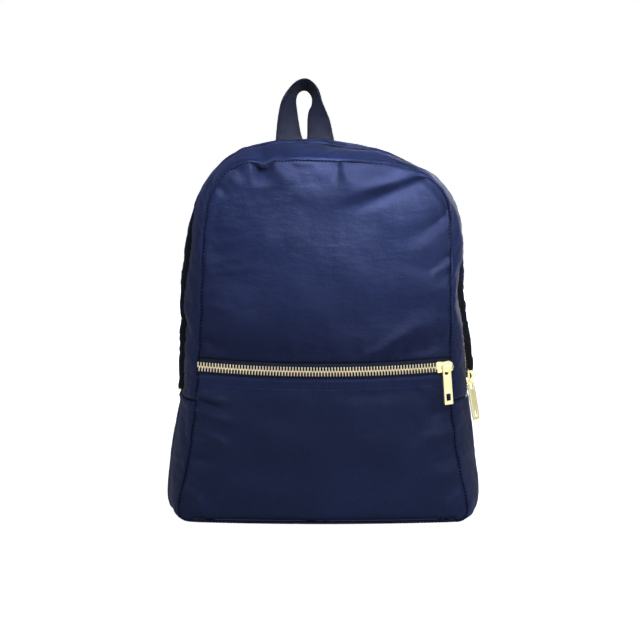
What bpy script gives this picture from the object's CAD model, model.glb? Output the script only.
import bpy
import math
import numpy as np
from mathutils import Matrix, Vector, noise
from mathutils.geometry import delaunay_2d_cdt


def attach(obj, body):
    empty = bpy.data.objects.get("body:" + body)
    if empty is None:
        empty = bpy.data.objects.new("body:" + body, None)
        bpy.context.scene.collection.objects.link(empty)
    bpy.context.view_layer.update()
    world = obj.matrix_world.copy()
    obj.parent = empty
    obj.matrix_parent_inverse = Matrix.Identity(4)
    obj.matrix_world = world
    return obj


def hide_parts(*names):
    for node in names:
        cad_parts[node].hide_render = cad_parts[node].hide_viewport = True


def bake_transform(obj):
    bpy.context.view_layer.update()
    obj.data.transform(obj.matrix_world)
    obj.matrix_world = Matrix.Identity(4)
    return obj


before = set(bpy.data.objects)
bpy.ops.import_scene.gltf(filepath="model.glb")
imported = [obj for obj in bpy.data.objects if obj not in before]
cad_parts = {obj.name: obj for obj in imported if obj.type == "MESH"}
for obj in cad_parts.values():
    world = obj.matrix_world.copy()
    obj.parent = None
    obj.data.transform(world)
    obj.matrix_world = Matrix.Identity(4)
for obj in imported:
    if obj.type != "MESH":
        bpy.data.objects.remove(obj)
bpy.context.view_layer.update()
MM = 0.001
scene = bpy.context.scene

# ------------------------------------------------------------------ shape of the bag (millimetres, as in the CAD source)
Y_FRONT, Y_BACK, BULGE, PANEL_HALF = -55.0, 55.0, 14.0, 120.0
PANEL_R = (PANEL_HALF ** 2 + BULGE ** 2) / (2 * BULGE)
PANEL_YC = Y_FRONT - BULGE + PANEL_R
TOP_SLANT, HEIGHT = -0.055, 370.5
Z_SCALE = HEIGHT / 380.0
GUSSET_GAP, TAPE_T, TAPE_OUT, CHAIN_HALF = 10.5, 0.8, 17.0, 4.0
Z_CHAIN_END, Z_GUSSET, Z_POCKET, FOLD_Z, FOLD_Y = 124.5, 119.5, 150.5, 166.0, -70.5
TOOTH_PITCH, POCKET_PITCH = 3.4, 2.9
ALPHA, LEAN = math.radians(14.0), math.radians(3.0)
MID = [(0, 0), (60, 0), (110, 0.0), (137, 0.3), (147.0, 1.6), (151.6, 5.2), (153.3, 13), (153.3, 29), (152.2, 42),
       (150.2, 60), (147.4, 84), (144.6, 108), (143.3, 130), (142.5, 150), (141.7, 170), (140.9, 190), (140.1, 210),
       (139.3, 230), (138.5, 250), (137.7, 270), (136.1, 286), (133.0, 300), (128.6, 314), (121.5, 328), (112.0, 341),
       (101.5, 351), (88.5, 360), (72, 367.8), (52, 374), (30, 378.2), (0, 380)]
FRONT = [(0, 0), (60, 0), (108, 0.0), (130, 0.4), (137.8, 2.2), (141.0, 6.8), (141.2, 17), (138.4, 33), (134.8, 48),
         (131.5, 66), (128.4, 88), (125.8, 108), (124.2, 130), (123.2, 150), (122.6, 170), (122.0, 190), (121.4, 210),
         (120.8, 230), (120.0, 250), (119.0, 268), (117.4, 284), (115.0, 298), (111.0, 311), (105.0, 323.5), (97.0, 334.5),
         (87.5, 343), (76, 350), (62, 355.5), (45, 359.5), (26, 362), (0, 363)]
BACK = [(0, 0), (60, 0), (108, 0.1), (130, 0.6), (140, 2.6), (146.0, 8.0), (147.4, 18), (147, 29), (146.2, 42),
        (144.3, 60), (141.6, 84), (139.0, 108), (137.7, 130), (136.9, 150), (136.1, 170), (135.3, 190), (134.5, 210),
        (133.7, 230), (132.9, 250), (131.9, 268), (130.0, 284), (126.8, 298), (122.4, 311.5), (115.5, 325), (106.5, 337),
        (96.5, 346.5), (84, 355), (68.5, 362.4), (49.5, 368.6), (28.5, 372.8), (0, 374.5)]
N = 1320


def smooth(t):
    t = np.clip(t, 0.0, 1.0)
    return t * t * (3 - 2 * t)


def catmull(points, per=24):
    n, out = len(points), []
    for i in range(n):
        p0, p1, p2, p3 = (np.array(points[(i + k - 1) % n], float) for k in range(4))
        t = [0.0]
        for a, b in ((p0, p1), (p1, p2), (p2, p3)):
            t.append(t[-1] + max(1e-6, float(np.linalg.norm(b - a))) ** 0.5)
        for k in range(per):
            u = t[1] + (t[2] - t[1]) * k / per
            a1 = (t[1] - u) / (t[1] - t[0]) * p0 + (u - t[0]) / (t[1] - t[0]) * p1
            a2 = (t[2] - u) / (t[2] - t[1]) * p1 + (u - t[1]) / (t[2] - t[1]) * p2
            a3 = (t[3] - u) / (t[3] - t[2]) * p2 + (u - t[2]) / (t[3] - t[2]) * p3
            b1 = (t[2] - u) / (t[2] - t[0]) * a1 + (u - t[0]) / (t[2] - t[0]) * a2
            b2 = (t[3] - u) / (t[3] - t[1]) * a2 + (u - t[1]) / (t[3] - t[1]) * a3
            out.append((t[2] - u) / (t[2] - t[1]) * b1 + (u - t[1]) / (t[2] - t[1]) * b2)
    return np.array(out)


def resample_closed(p, n):
    q = np.vstack([p, p[:1]])
    s = np.concatenate([[0], np.cumsum(np.linalg.norm(np.diff(q, axis=0), axis=1))])
    want = s[-1] * np.arange(n) / n
    return np.stack([np.interp(want, s, q[:, k]) for k in range(q.shape[1])], 1)


def resample_open(p, step):
    s = np.concatenate([[0], np.cumsum(np.linalg.norm(np.diff(p, axis=0), axis=1))])
    n = max(2, int(round(s[-1] / step)) + 1)
    want = np.linspace(0, s[-1], n)
    return np.stack([np.interp(want, s, p[:, k]) for k in range(p.shape[1])], 1)


def slanted(x, z):
    return (x, (z + TOP_SLANT * x * float(smooth((z - 285.0) / 75.0))) * Z_SCALE)


def closed_outline(half):
    ring = [slanted(x, z) for x, z in half] + [slanted(-x, z) for x, z in reversed(half[1:-1])]
    return resample_closed(catmull(ring), N)


O_MID, O_FRONT, O_BACK = closed_outline(MID), closed_outline(FRONT), closed_outline(BACK)


def bell(x, c, w):
    return np.exp(-((x - c) / w) ** 2)


def outward(curve):
    t = np.roll(curve, -1, axis=0) - np.roll(curve, 1, axis=0)
    t /= np.linalg.norm(t, axis=1, keepdims=True)
    return np.stack([t[:, 1], -t[:, 0]], 1)


# the front seam isn't an even curve: gathers pull it inwards at the left shoulder
_x, _z = O_FRONT[:, 0], O_FRONT[:, 1]
_top = smooth((_z - 290) / 20.0)
_pull = (3.9 * np.exp(-np.abs((_x + 57.0) / 5.2) ** 1.5) - 0.9 * bell(_x, -68, 5) - 0.9 * bell(_x, -46, 6)
         + 1.7 * bell(_x, -81.5, 3.0) - 0.8 * bell(_x, -89, 4) + 2.6 * bell(_x, -101, 3.2) - 0.7 * bell(_x, -108, 3)
         + 0.5 * bell(_x, 96, 7) + 0.5 * bell(_x, 15, 3)) * _top
_pull += (0.8 * bell(_z, 262, 7) + 0.6 * bell(_z, 236, 6)) * (_x > 60) + 0.5 * np.sin(_z * 0.19) * smooth((_z - 30) / 40) * (1 - _top) * 0.6
# squarer at the shoulders than the back is, most of all at the right: outward shift by station
SEAM_PUSH = [(0, 0), (250, 0), (310, 0.8), (356, 2.2), (420, 3.8), (450, 4.4), (462, 5.7), (486, 6.5), (492, 7.4), (498, 9.1), (504, 10.7), (510, 12.7), (516, 14.1), (522, 14.9),
             (528, 15.4), (534, 15.6), (540, 15.3), (546, 14.1), (552, 12.7), (558, 11.5), (564, 10.6), (570, 9.4), (576, 8.5), (582, 7.3), (588, 6.3),
             (594, 5.6), (600, 4.6), (606, 3.8), (612, 3.1), (624, 2.0), (642, 1.2), (654, 0.5), (700, 0.3), (710, 0.2), (720, 1.2), (732, 3.5), (738, 4.6), (744, 6.0),
             (750, 7.2), (756, 7.2), (762, 6.2), (768, 6.0), (774, 6.4), (780, 7.0), (786, 6.4), (792, 4.5), (798, 2.2), (810, 0.8), (822, -0.6), (834, -1.5),
             (852, -1.9), (870, -3.0), (930, -2.4), (980, -1.2), (1040, 0), (1320, 0)]
_st = np.array(SEAM_PUSH, float)
_pull -= np.interp(np.arange(N), _st[:, 0], _st[:, 1])
O_FRONT = O_FRONT - outward(O_FRONT) * _pull[:, None]
# the crown: lower along the right half of the top, fuller at the right shoulder, slacker at the left one
_x, _z = O_MID[:, 0], O_MID[:, 1]
TOP_PUSH = [(-128, 0), (-112, -2.0), (-98, 0.2), (-80, 0.0), (-66, -1.0), (-55, -0.8), (-45, -1.0), (-30, -3.0), (0, -3.8), (22, -4.6), (34, -4.2), (50, -2.4), (70, -1.8), (85, -2.8), (95, -2.8), (105, -1.2), (114, 0)]
RIGHT_PUSH = [(235, 0), (262, 0.8), (285, -0.2), (300, 0.8), (315, 2.4), (330, 2.8), (340, 2.0), (350, 0.8), (358, 0.2), (366, 0)]
LEFT_PUSH = [(275, 0), (300, -2.2), (322, -3.2), (338, -2.8), (350, -1.0), (360, 0), (368, 0)]
_tab = lambda rows, q: np.interp(q, np.array(rows, float)[:, 0], np.array(rows, float)[:, 1])
_push = (_tab(TOP_PUSH, _x) * smooth((_z - 335) / 14.0) + np.where(_x > 0, _tab(RIGHT_PUSH, _z), _tab(LEFT_PUSH, _z)) * (_z > 200))
_ker = np.hanning(31) / np.hanning(31).sum()
_push = np.convolve(np.concatenate([_push[-15:], _push, _push[:15]]), _ker, mode="valid")
O_MID = O_MID + outward(O_MID) * _push[:, None]

# how far the cloth beside the main zip falls in (hem), and the rear half stands out, by height, on each side
HEM_L = [(118, 3.0), (130, 5.6), (142, 6.4), (166, 5.6), (178, 6.2), (190, 6.4), (215, 4.2), (227, 5.4), (251, 6.2), (275, 6.0), (290, 3.2), (305, 0.8), (320, 0)]
HEM_R = [(118, 0.6), (140, 1.0), (152, 1.4), (176, 2.4), (190, 3.4), (205, 5.2), (218, 7.2), (230, 7.0), (245, 4.4), (258, 1.6), (272, -0.4), (300, -1.4), (330, -1.0), (345, 0.4), (354, 1.3), (372, 1.4)]
OUT_L = [(60, 0), (110, -2.0), (125, 0.3), (133, 0.2), (145, 0.8), (157, 0.5), (168, 0.7), (180, 1.0), (192, 0.2), (204, 1.8), (216, 1.2), (228, 1.4), (239, 1.0), (251, -0.4), (275, -2.2), (300, -1.2), (322, -0.4), (338, 0.0), (368, 0)]
OUT_R = [(118, 0), (126, 1.0), (136, 6.0), (152, 7.0), (161, 6.2), (176, 4.4), (200, 1.7), (220, 0.4), (240, 0.2), (262, -0.4), (285, -0.8), (300, -1.2), (340, -1.0), (372, 0)]


def table(rows, z):
    r = np.array(rows, float)
    return np.interp(z, r[:, 0], r[:, 1])


def side_shift(x, z, y):
    """Outward displacement of the gusset skin."""
    right = x > 0
    hem = np.where(right, table(HEM_R, z), table(HEM_L, z))
    out = np.where(right, table(OUT_R, z), table(OUT_L, z))
    g = np.where(y < -10, smooth((y + 56) / 44.0), 1 - smooth((y + 7) / 15.0))
    h = np.where(right, smooth((y + 6) / 14.0) * (1 - smooth((y - 16) / 38.0)), smooth((y + 50) / 30.0) * (1 - smooth((y - 16) / 38.0)))
    return -hem * g + out * h


def at_s(curve, s):
    """Point of a closed outline at fractional station s (any shape of array)."""
    s = np.mod(s, N)
    i = np.floor(s).astype(int) % N
    f = (s - np.floor(s))[..., None]
    return curve[i] * (1 - f) + curve[(i + 1) % N] * f


def panel_y(x, z):
    """Depth of the front: bulged across, easing back a little towards the top and the foot."""
    y = PANEL_YC - np.sqrt(np.maximum(PANEL_R ** 2 - x ** 2, 1.0))
    h = 1 - 0.58 * smooth((z - 185) / 172.0) - 0.30 * smooth((105 - z) / 105.0)
    return np.where(y < Y_FRONT, Y_FRONT + (y - Y_FRONT) * h, y)


def seam_y(s):
    p = at_s(O_FRONT, s)
    return panel_y(p[..., 0], p[..., 1])


def skin(s, y, inset=0.0):
    """Point of the crowned gusset skin at station s and depth y; y runs from the front seam to Y_BACK."""
    s, y = np.broadcast_arrays(np.asarray(s, float), np.asarray(y, float))
    a, m, b = at_s(O_FRONT, s), at_s(O_MID, s), at_s(O_BACK, s)
    ys = seam_y(s)
    ff = (1 - np.clip(y / ys, 0, 1) ** 2)[..., None]
    fb = (np.clip(y / Y_BACK, 0, 1) ** 2)[..., None]
    p = np.where((y <= 0)[..., None], a + (m - a) * ff, m + (b - m) * fb)
    d = 1.5
    q0, q1 = at_s(O_MID, s - d), at_s(O_MID, s + d)
    t = q1 - q0
    t = t / np.linalg.norm(t, axis=-1, keepdims=True)
    p = p + np.stack([-t[..., 1], t[..., 0]], -1) * (np.asarray(inset) - side_shift(m[..., 0], m[..., 1], y))[..., None]
    return np.stack([p[..., 0], y, p[..., 1]], -1)


def station_at_z(y, z, side):
    """Station on the skin at depth y where the height is z, on side +1 or -1."""
    lo = np.full(np.shape(y), 150.0) if side > 0 else np.full(np.shape(y), N - 150.0)
    hi = np.full(np.shape(y), 560.0) if side > 0 else np.full(np.shape(y), N - 560.0)
    for _ in range(40):
        m = (lo + hi) / 2
        up = skin(m, y)[..., 2] > z
        hi = np.where(up, m, hi)
        lo = np.where(up, lo, m)
    return (lo + hi) / 2


# ------------------------------------------------------------------ helpers
def fbm(points, scale, seed, octaves=3, warp=0.0):
    """Smooth seeded noise, about -1 to 1, at points (mm)."""
    off = Vector((seed * 17.13, seed * 5.77, seed * 9.31))
    out = np.empty(len(points))
    for i, p in enumerate(points):
        v = Vector((p[0] / scale, p[1] / scale, p[2] / scale)) + off
        a, s, t = 1.0, 0.0, 0.0
        for _ in range(octaves):
            s += a * noise.noise(v)
            t += a
            v = v * 2.03
            a *= 0.5
        out[i] = s / t * 1.6
    return out


def new_mesh(name, verts_mm, faces, uv=None, smooth_shade=True):
    me = bpy.data.meshes.new(name)
    me.from_pydata((np.asarray(verts_mm, float) * MM).tolist(), [], [list(map(int, f)) for f in faces])
    me.update()
    if uv is not None:
        layer = me.uv_layers.new(name="UVMap")
        idx = np.empty(len(me.loops), int)
        me.loops.foreach_get("vertex_index", idx)
        layer.data.foreach_set("uv", np.asarray(uv, float)[idx].astype(np.float32).ravel())
    ob = bpy.data.objects.new(name, me)
    scene.collection.objects.link(ob)
    if smooth_shade:
        me.polygons.foreach_set("use_smooth", [True] * len(me.polygons))
    return ob


def bm_fix(ob):
    import bmesh
    bm = bmesh.new()
    bm.from_mesh(ob.data)
    bmesh.ops.recalc_face_normals(bm, faces=bm.faces)
    bm.to_mesh(ob.data)
    bm.free()


def tri_normals(v, faces):
    """Vertex normals of a mesh of triangles or quads."""
    nrm = np.zeros_like(v)
    by = {}
    for f in faces:
        by.setdefault(len(f), []).append(f)
    for k, fs in by.items():
        f = np.array(fs)
        n = np.cross(v[f[:, 1]] - v[f[:, 0]], v[f[:, 2]] - v[f[:, 0]]) if k == 3 else \
            np.cross(v[f[:, 2]] - v[f[:, 0]], v[f[:, 3]] - v[f[:, 1]])
        for c in range(k):
            np.add.at(nrm, f[:, c], n)
    return nrm / np.maximum(np.linalg.norm(nrm, axis=1, keepdims=True), 1e-9)


def boundary_loops(faces):
    edges = {}
    for f in faces:
        for a, b in zip(f, list(f[1:]) + [f[0]]):
            edges[(a, b)] = edges.get((a, b), 0) + 1
    return [(a, b) for (a, b) in edges if (b, a) not in edges]


def shell(v, faces, thickness, uv=None):
    """Closed sheet: outer surface v (normals outwards) and an inner one, joined round the rim."""
    v = np.asarray(v, float)
    n = tri_normals(v, faces)
    inner = v - n * thickness
    k = len(v)
    out = [tuple(f) for f in faces] + [tuple(reversed([i + k for i in f])) for f in faces]
    for a, b in boundary_loops(faces):
        out.append((b, a, a + k, b + k))
    uv2 = None if uv is None else np.vstack([uv, uv])
    return np.vstack([v, inner]), out, uv2


def grid_faces(nu, nv, flip=False, closed_u=False):
    f = []
    for i in range(nu if closed_u else nu - 1):
        for j in range(nv - 1):
            a, b = i * nv + j, ((i + 1) % nu) * nv + j
            q = (a, b, b + 1, a + 1)
            f.append(tuple(reversed(q)) if flip else q)
    return f


def polyline_distance(p, line):
    """Distance from each point in the plane to a polyline, in blocks."""
    a, b = line[:-1], line[1:]
    d = b - a
    l2 = np.maximum((d ** 2).sum(1), 1e-12)
    out = np.empty(len(p))
    for k in range(0, len(p), 2000):
        q = p[k:k + 2000]
        t = np.clip(((q[:, None, :] - a[None]) * d[None]).sum(-1) / l2[None], 0, 1)
        out[k:k + 2000] = np.linalg.norm(q[:, None, :] - (a[None] + t[..., None] * d[None]), axis=-1).min(1)
    return out


def inside(p, poly):
    x, z = p[:, 0], p[:, 1]
    c = np.zeros(len(p), bool)
    q = np.roll(poly, -1, axis=0)
    for (x0, z0), (x1, z1) in zip(poly, q):
        if z0 == z1:
            continue
        cross = ((z0 > z) != (z1 > z)) & (x < (x1 - x0) * (z - z0) / (z1 - z0) + x0)
        c ^= cross
    return c


def fill(poly, spacing, rings):
    """Triangles inside a closed polygon: rings follow the rim, a hexagonal lattice fills the middle."""
    closed = np.vstack([poly, poly[:1]])
    t = np.roll(poly, -1, axis=0) - np.roll(poly, 1, axis=0)
    t /= np.linalg.norm(t, axis=1, keepdims=True)
    area = 0.5 * np.sum(poly[:, 0] * np.roll(poly[:, 1], -1) - np.roll(poly[:, 0], -1) * poly[:, 1])
    nrm = np.stack([-t[:, 1], t[:, 0]], 1) * (1 if area > 0 else -1)
    pts = [poly]
    for r in rings:
        q = poly + nrm * r
        q = q[inside(q, poly)]
        q = q[polyline_distance(q, closed) > r * 0.96]
        keep = [q[0]]
        for p in q[1:]:
            if np.linalg.norm(p - keep[-1]) > min(spacing, 0.55 * spacing + 0.3 * r):
                keep.append(p)
        pts.append(np.array(keep))
    lo, hi = poly.min(0), poly.max(0)
    rows = np.arange(lo[1], hi[1], spacing * 0.866)
    lat = []
    for k, z in enumerate(rows):
        xs = np.arange(lo[0] - spacing, hi[0] + spacing, spacing) + (spacing / 2 if k % 2 else 0)
        lat.append(np.stack([xs, np.full(len(xs), z)], 1))
    lat = np.vstack(lat)
    lat = lat[inside(lat, poly)]
    lat = lat[polyline_distance(lat, closed) > rings[-1] + spacing * 0.7]
    pts.append(lat)
    allp = np.vstack(pts)
    m = len(poly)
    res = delaunay_2d_cdt([Vector(p) for p in allp], [(i, (i + 1) % m) for i in range(m)], [], 1, 1e-5)
    v = np.array([[c[0], c[1]] for c in res[0]])
    return v, [tuple(f) for f in res[2]]


def simulate(name, v, faces, pin, pressure=3.0, grow=0.02, frames=20, cap=6.0, bend=0.3, gravity=0.0, outward=True):
    """Cloth simulation of one open sheet; pin is a weight per vertex.  Returns the displaced vertices (mm)."""
    ob = new_mesh("sim_" + name, v, faces)
    vg = ob.vertex_groups.new(name="pin")
    for w in np.unique(np.round(pin, 2)):
        if w > 0:
            vg.add([int(i) for i in np.nonzero(np.round(pin, 2) == w)[0]], float(w), "REPLACE")
    mod = ob.modifiers.new("cloth", "CLOTH")
    c = mod.settings
    c.quality = 5
    c.mass = 0.15
    c.tension_stiffness = c.compression_stiffness = 12
    c.shear_stiffness = 4
    c.bending_stiffness = bend
    c.tension_damping = c.compression_damping = 8
    c.vertex_group_mass = "pin"
    c.pin_stiffness = 1.0
    c.use_pressure = True
    c.uniform_pressure_force = pressure
    c.shrink_min = -grow
    c.shrink_max = -grow
    c.effector_weights.gravity = gravity
    mod.collision_settings.use_collision = False
    mod.collision_settings.use_self_collision = False
    mod.point_cache.frame_start, mod.point_cache.frame_end = 1, frames
    for k in range(1, frames + 1):
        scene.frame_set(k)
    dg = bpy.context.evaluated_depsgraph_get()
    me = ob.evaluated_get(dg).to_mesh()
    out = np.empty(len(me.vertices) * 3, np.float32)
    me.vertices.foreach_get("co", out)
    out = out.reshape(-1, 3).astype(float) / MM
    scene.frame_set(1)
    bpy.data.objects.remove(ob)
    d = out - v
    l = np.linalg.norm(d, axis=1, keepdims=True)
    if not np.isfinite(l).all():
        print("simulation of", name, "gave no finite result")
        return v
    print("sim", name, "moved at most", float(l.max()), "mean", float(l.mean()))
    return v + d / np.maximum(l, 1e-9) * (cap * np.tanh(l / cap))


def relax(v, faces, move, rounds=2, amount=0.5):
    """Smooths vertices where move is 1."""
    nb = {}
    for f in faces:
        for a, b in zip(f, list(f[1:]) + [f[0]]):
            nb.setdefault(a, set()).add(b)
            nb.setdefault(b, set()).add(a)
    src = np.array([a for a in nb for _ in nb[a]])
    dst = np.array([b for a in nb for b in nb[a]])
    cnt = np.bincount(src, minlength=len(v))[:, None]
    for _ in range(rounds):
        acc = np.zeros_like(v)
        np.add.at(acc, src, v[dst])
        v = v + (acc / np.maximum(cnt, 1) - v) * (amount * move[:, None])
    return v


# ------------------------------------------------------------------ materials
def srgb(r, g, b):
    return tuple(((c / 255.0) / 12.92 if c / 255.0 <= 0.04045 else ((c / 255.0 + 0.055) / 1.055) ** 2.4)
                 for c in (r, g, b)) + (1.0,)


class Mat:
    def __init__(self, name, uv=True):
        self.m = bpy.data.materials.new(name)
        self.m.use_nodes = True
        self.t = self.m.node_tree
        self.t.nodes.clear()
        self.out = self.t.nodes.new("ShaderNodeOutputMaterial")
        self.p = self.t.nodes.new("ShaderNodeBsdfPrincipled")
        self.t.links.new(self.p.outputs[0], self.out.inputs[0])
        self.tc = self.t.nodes.new("ShaderNodeTexCoord")
        self.co = self.tc.outputs["UV" if uv else "Object"]
        self.obj = self.tc.outputs["Object"]

    def node(self, kind, **kw):
        n = self.t.nodes.new(kind)
        for k, v in kw.items():
            setattr(n, k, v)
        return n

    def link(self, a, b):
        self.t.links.new(a, b)

    def value(self, n, name, v):
        n.inputs[name].default_value = v

    def scaled(self, src, sx, sy=None, sz=None, rot=0.0):
        n = self.node("ShaderNodeMapping")
        n.inputs["Scale"].default_value = (sx, sy if sy is not None else sx, sz if sz is not None else sx)
        n.inputs["Rotation"].default_value = (0, 0, rot)
        self.link(src, n.inputs["Vector"])
        return n.outputs[0]

    def noise(self, src, scale, detail=3.0, rough=0.5):
        n = self.node("ShaderNodeTexNoise")
        n.inputs["Scale"].default_value = scale
        n.inputs["Detail"].default_value = detail
        n.inputs["Roughness"].default_value = rough
        self.link(src, n.inputs["Vector"])
        return n.outputs["Fac"]

    def wave(self, src, scale, direction="X", distortion=0.0, profile="SIN"):
        n = self.node("ShaderNodeTexWave", wave_type="BANDS", bands_direction=direction, wave_profile=profile)
        n.inputs["Scale"].default_value = scale
        n.inputs["Distortion"].default_value = distortion
        n.inputs["Detail"].default_value = 0.0
        self.link(src, n.inputs["Vector"])
        return n.outputs["Fac"]

    def math(self, op, a, b=None, clamp=False):
        n = self.node("ShaderNodeMath", operation=op)
        n.use_clamp = clamp
        for k, x in enumerate((a, b)):
            if x is None:
                continue
            if isinstance(x, (int, float)):
                n.inputs[k].default_value = x
            else:
                self.link(x, n.inputs[k])
        return n.outputs[0]

    def ramp(self, src, stops):
        n = self.node("ShaderNodeValToRGB")
        e = n.color_ramp.elements
        while len(e) < len(stops):
            e.new(0.5)
        for el, (pos, col) in zip(e, stops):
            el.position = pos
            el.color = col
        self.link(src, n.inputs[0])
        return n.outputs[0]

    def mix(self, fac, a, b, mode="MIX"):
        n = self.node("ShaderNodeMix", data_type="RGBA", blend_type=mode)
        if isinstance(fac, (int, float)):
            n.inputs[0].default_value = fac
        else:
            self.link(fac, n.inputs[0])
        for k, x in ((6, a), (7, b)):
            if isinstance(x, tuple):
                n.inputs[k].default_value = x
            else:
                self.link(x, n.inputs[k])
        return n.outputs[2]

    def bump(self, height, strength, distance, under=None):
        n = self.node("ShaderNodeBump")
        n.inputs["Strength"].default_value = strength
        n.inputs["Distance"].default_value = distance
        self.link(height, n.inputs["Height"])
        if under is not None:
            self.link(under, n.inputs["Normal"])
        return n.outputs[0]

    def maprange(self, src, lo, hi, a=0.0, b=1.0):
        n = self.node("ShaderNodeMapRange")
        n.inputs["From Min"].default_value = lo
        n.inputs["From Max"].default_value = hi
        n.inputs["To Min"].default_value = a
        n.inputs["To Max"].default_value = b
        self.link(src, n.inputs["Value"])
        return n.outputs[0]


def nylon(name, dark, mid, light, sheen=0.10, rough=(0.40, 0.52), shade=0.0):
    """Fine filling twill nylon with a satin face: UVs are in centimetres along the cloth."""
    m = Mat(name)
    big = m.noise(m.obj, 9.0, 3.0, 0.55)
    cloud = m.noise(m.obj, 38.0, 4.0, 0.6)
    col = m.ramp(big, [(0.30, dark), (0.52, mid), (0.78, light)])
    col = m.mix(m.maprange(cloud, 0.35, 0.75, 0.0, 0.28), col, dark)
    tw = m.wave(m.scaled(m.co, 1, 1, 1, math.radians(63)), 3.4, "X", 0.15)      # twill lines, about 0.45 mm apart
    weft = m.wave(m.co, 2.3, "Y", 0.4)
    slub = m.noise(m.scaled(m.co, 2.0, 36.0, 1.0), 1.0, 2.0, 0.5)
    slub2 = m.noise(m.scaled(m.co, 40.0, 2.0, 1.0), 1.0, 2.0, 0.5)
    thread = m.math("ADD", m.math("MULTIPLY", tw, 0.55), m.math("ADD", m.math("MULTIPLY", slub, 0.5),
                                                               m.math("MULTIPLY", slub2, 0.5)))
    col = m.mix(m.maprange(thread, 0.45, 1.1, 0.0, 0.16), col, light)
    streak = m.noise(m.scaled(m.co, 11.0, 1.3, 1.0), 1.0, 2.0, 0.6)
    streak2 = m.noise(m.scaled(m.co, 1.6, 14.0, 1.0), 1.0, 2.0, 0.6)
    col = m.mix(m.maprange(streak, 0.35, 0.70, 0.34, 0.0), col, tuple(x * 0.62 for x in dark[:3]) + (1,))
    col = m.mix(m.maprange(streak2, 0.45, 0.75, 0.0, 0.22), col, light)
    if shade:
        # dyed a little deeper low down at the left, where the cloth has faded least
        xyz = m.node("ShaderNodeSeparateXYZ")
        m.link(m.obj, xyz.inputs[0])
        low = m.math("MULTIPLY", m.maprange(xyz.outputs["Z"], 0.165, 0.275, 1.0, 0.0), m.maprange(xyz.outputs["X"], -0.06, 0.12, 1.0, 0.45))
        col = m.mix(m.math("MULTIPLY", low, shade), col, tuple(x * 0.35 for x in dark[:3]) + (1,))
    m.link(col, m.p.inputs["Base Color"])
    r = m.maprange(m.math("ADD", cloud, m.math("MULTIPLY", thread, 0.35)), 0.4, 1.1, rough[0], rough[1])
    m.link(r, m.p.inputs["Roughness"])
    m.p.inputs["Specular IOR Level"].default_value = 0.36
    m.p.inputs["Specular Tint"].default_value = srgb(158, 172, 240)
    m.p.inputs["Sheen Weight"].default_value = sheen
    m.p.inputs["Sheen Roughness"].default_value = 0.35
    m.p.inputs["Sheen Tint"].default_value = srgb(110, 130, 220)
    m.p.inputs["Anisotropic"].default_value = 0.35
    b = m.bump(thread, 0.32, 0.00018)
    b = m.bump(m.math("ADD", streak, m.math("MULTIPLY", streak2, 0.6)), 0.24, 0.0005, b)
    b = m.bump(m.noise(m.obj, 160.0, 3.0, 0.6), 0.22, 0.0009, b)
    b = m.bump(m.noise(m.scaled(m.co, 0.55, 1.5, 1.0, math.radians(28)), 1.0, 3.0, 0.55), 0.20, 0.0030, b)
    m.link(b, m.p.inputs["Normal"])
    return m.m


def lining_mat(name, col):
    m = Mat(name)
    c = m.noise(m.obj, 22.0, 4.0, 0.6)
    dark = tuple(x * 0.7 for x in col[:3]) + (1,)
    base = m.ramp(c, [(0.3, dark), (0.7, col)])
    w1, w2 = m.wave(m.co, 3.2, "X", 0.1), m.wave(m.co, 3.2, "Y", 0.1)
    wv = m.math("MULTIPLY", w1, w2)
    m.link(m.mix(m.maprange(wv, 0.1, 0.9, 0.0, 0.25), base, tuple(min(1, x * 1.7) for x in col[:3]) + (1,)), m.p.inputs["Base Color"])
    m.p.inputs["Roughness"].default_value = 0.62
    m.p.inputs["Sheen Weight"].default_value = 0.2
    m.link(m.bump(m.noise(m.obj, 90.0, 3.0, 0.5), 0.3, 0.0012, m.bump(wv, 0.25, 0.0002)), m.p.inputs["Normal"])
    return m.m


def webbing_mat(name, col, light, rib=1.0, uv=True):
    """Grosgrain or twill tape: ribs across, u across in cm, v along in cm."""
    m = Mat(name, uv)
    ribs = m.wave(m.co, 2.05 * rib, "Y", 0.0)           # a rib every 1.5 mm
    ribs = m.math("POWER", ribs, 0.6)
    warp = m.wave(m.co, 5.2, "X", 0.1)
    fuzz = m.noise(m.scaled(m.co, 20, 6, 1), 1.0, 3.0, 0.6)
    c = m.mix(m.maprange(fuzz, 0.3, 0.75, 0.0, 0.7), col, light)
    c = m.mix(m.maprange(ribs, 0.0, 0.6, 0.55, 0.0), c, tuple(x * 0.35 for x in col[:3]) + (1,))
    m.link(c, m.p.inputs["Base Color"])
    m.p.inputs["Roughness"].default_value = 0.75
    m.p.inputs["Specular IOR Level"].default_value = 0.25
    m.p.inputs["Sheen Weight"].default_value = 0.05
    m.p.inputs["Sheen Tint"].default_value = srgb(110, 125, 200)
    h = m.math("ADD", ribs, m.math("MULTIPLY", m.math("ADD", warp, fuzz), 0.18))
    m.link(m.bump(h, 0.55, 0.0004), m.p.inputs["Normal"])
    return m.m


def tape_mat(name, col, light):
    """Zip tape: a fine herringbone with a dull face."""
    m = Mat(name, uv=False)
    a = m.wave(m.scaled(m.co, 100, 100, 100, 0.0), 2.6, "DIAGONAL", 0.1)
    f = m.noise(m.co, 900.0, 2.0, 0.5)
    c = m.mix(m.maprange(a, 0.2, 0.8, 0.0, 0.45), col, light)
    c = m.mix(m.maprange(f, 0.3, 0.7, 0.0, 0.3), c, col)
    m.link(c, m.p.inputs["Base Color"])
    m.p.inputs["Roughness"].default_value = 0.8
    m.p.inputs["Specular IOR Level"].default_value = 0.2
    m.link(m.bump(m.math("ADD", a, f), 0.4, 0.00025), m.p.inputs["Normal"])
    return m.m


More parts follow.
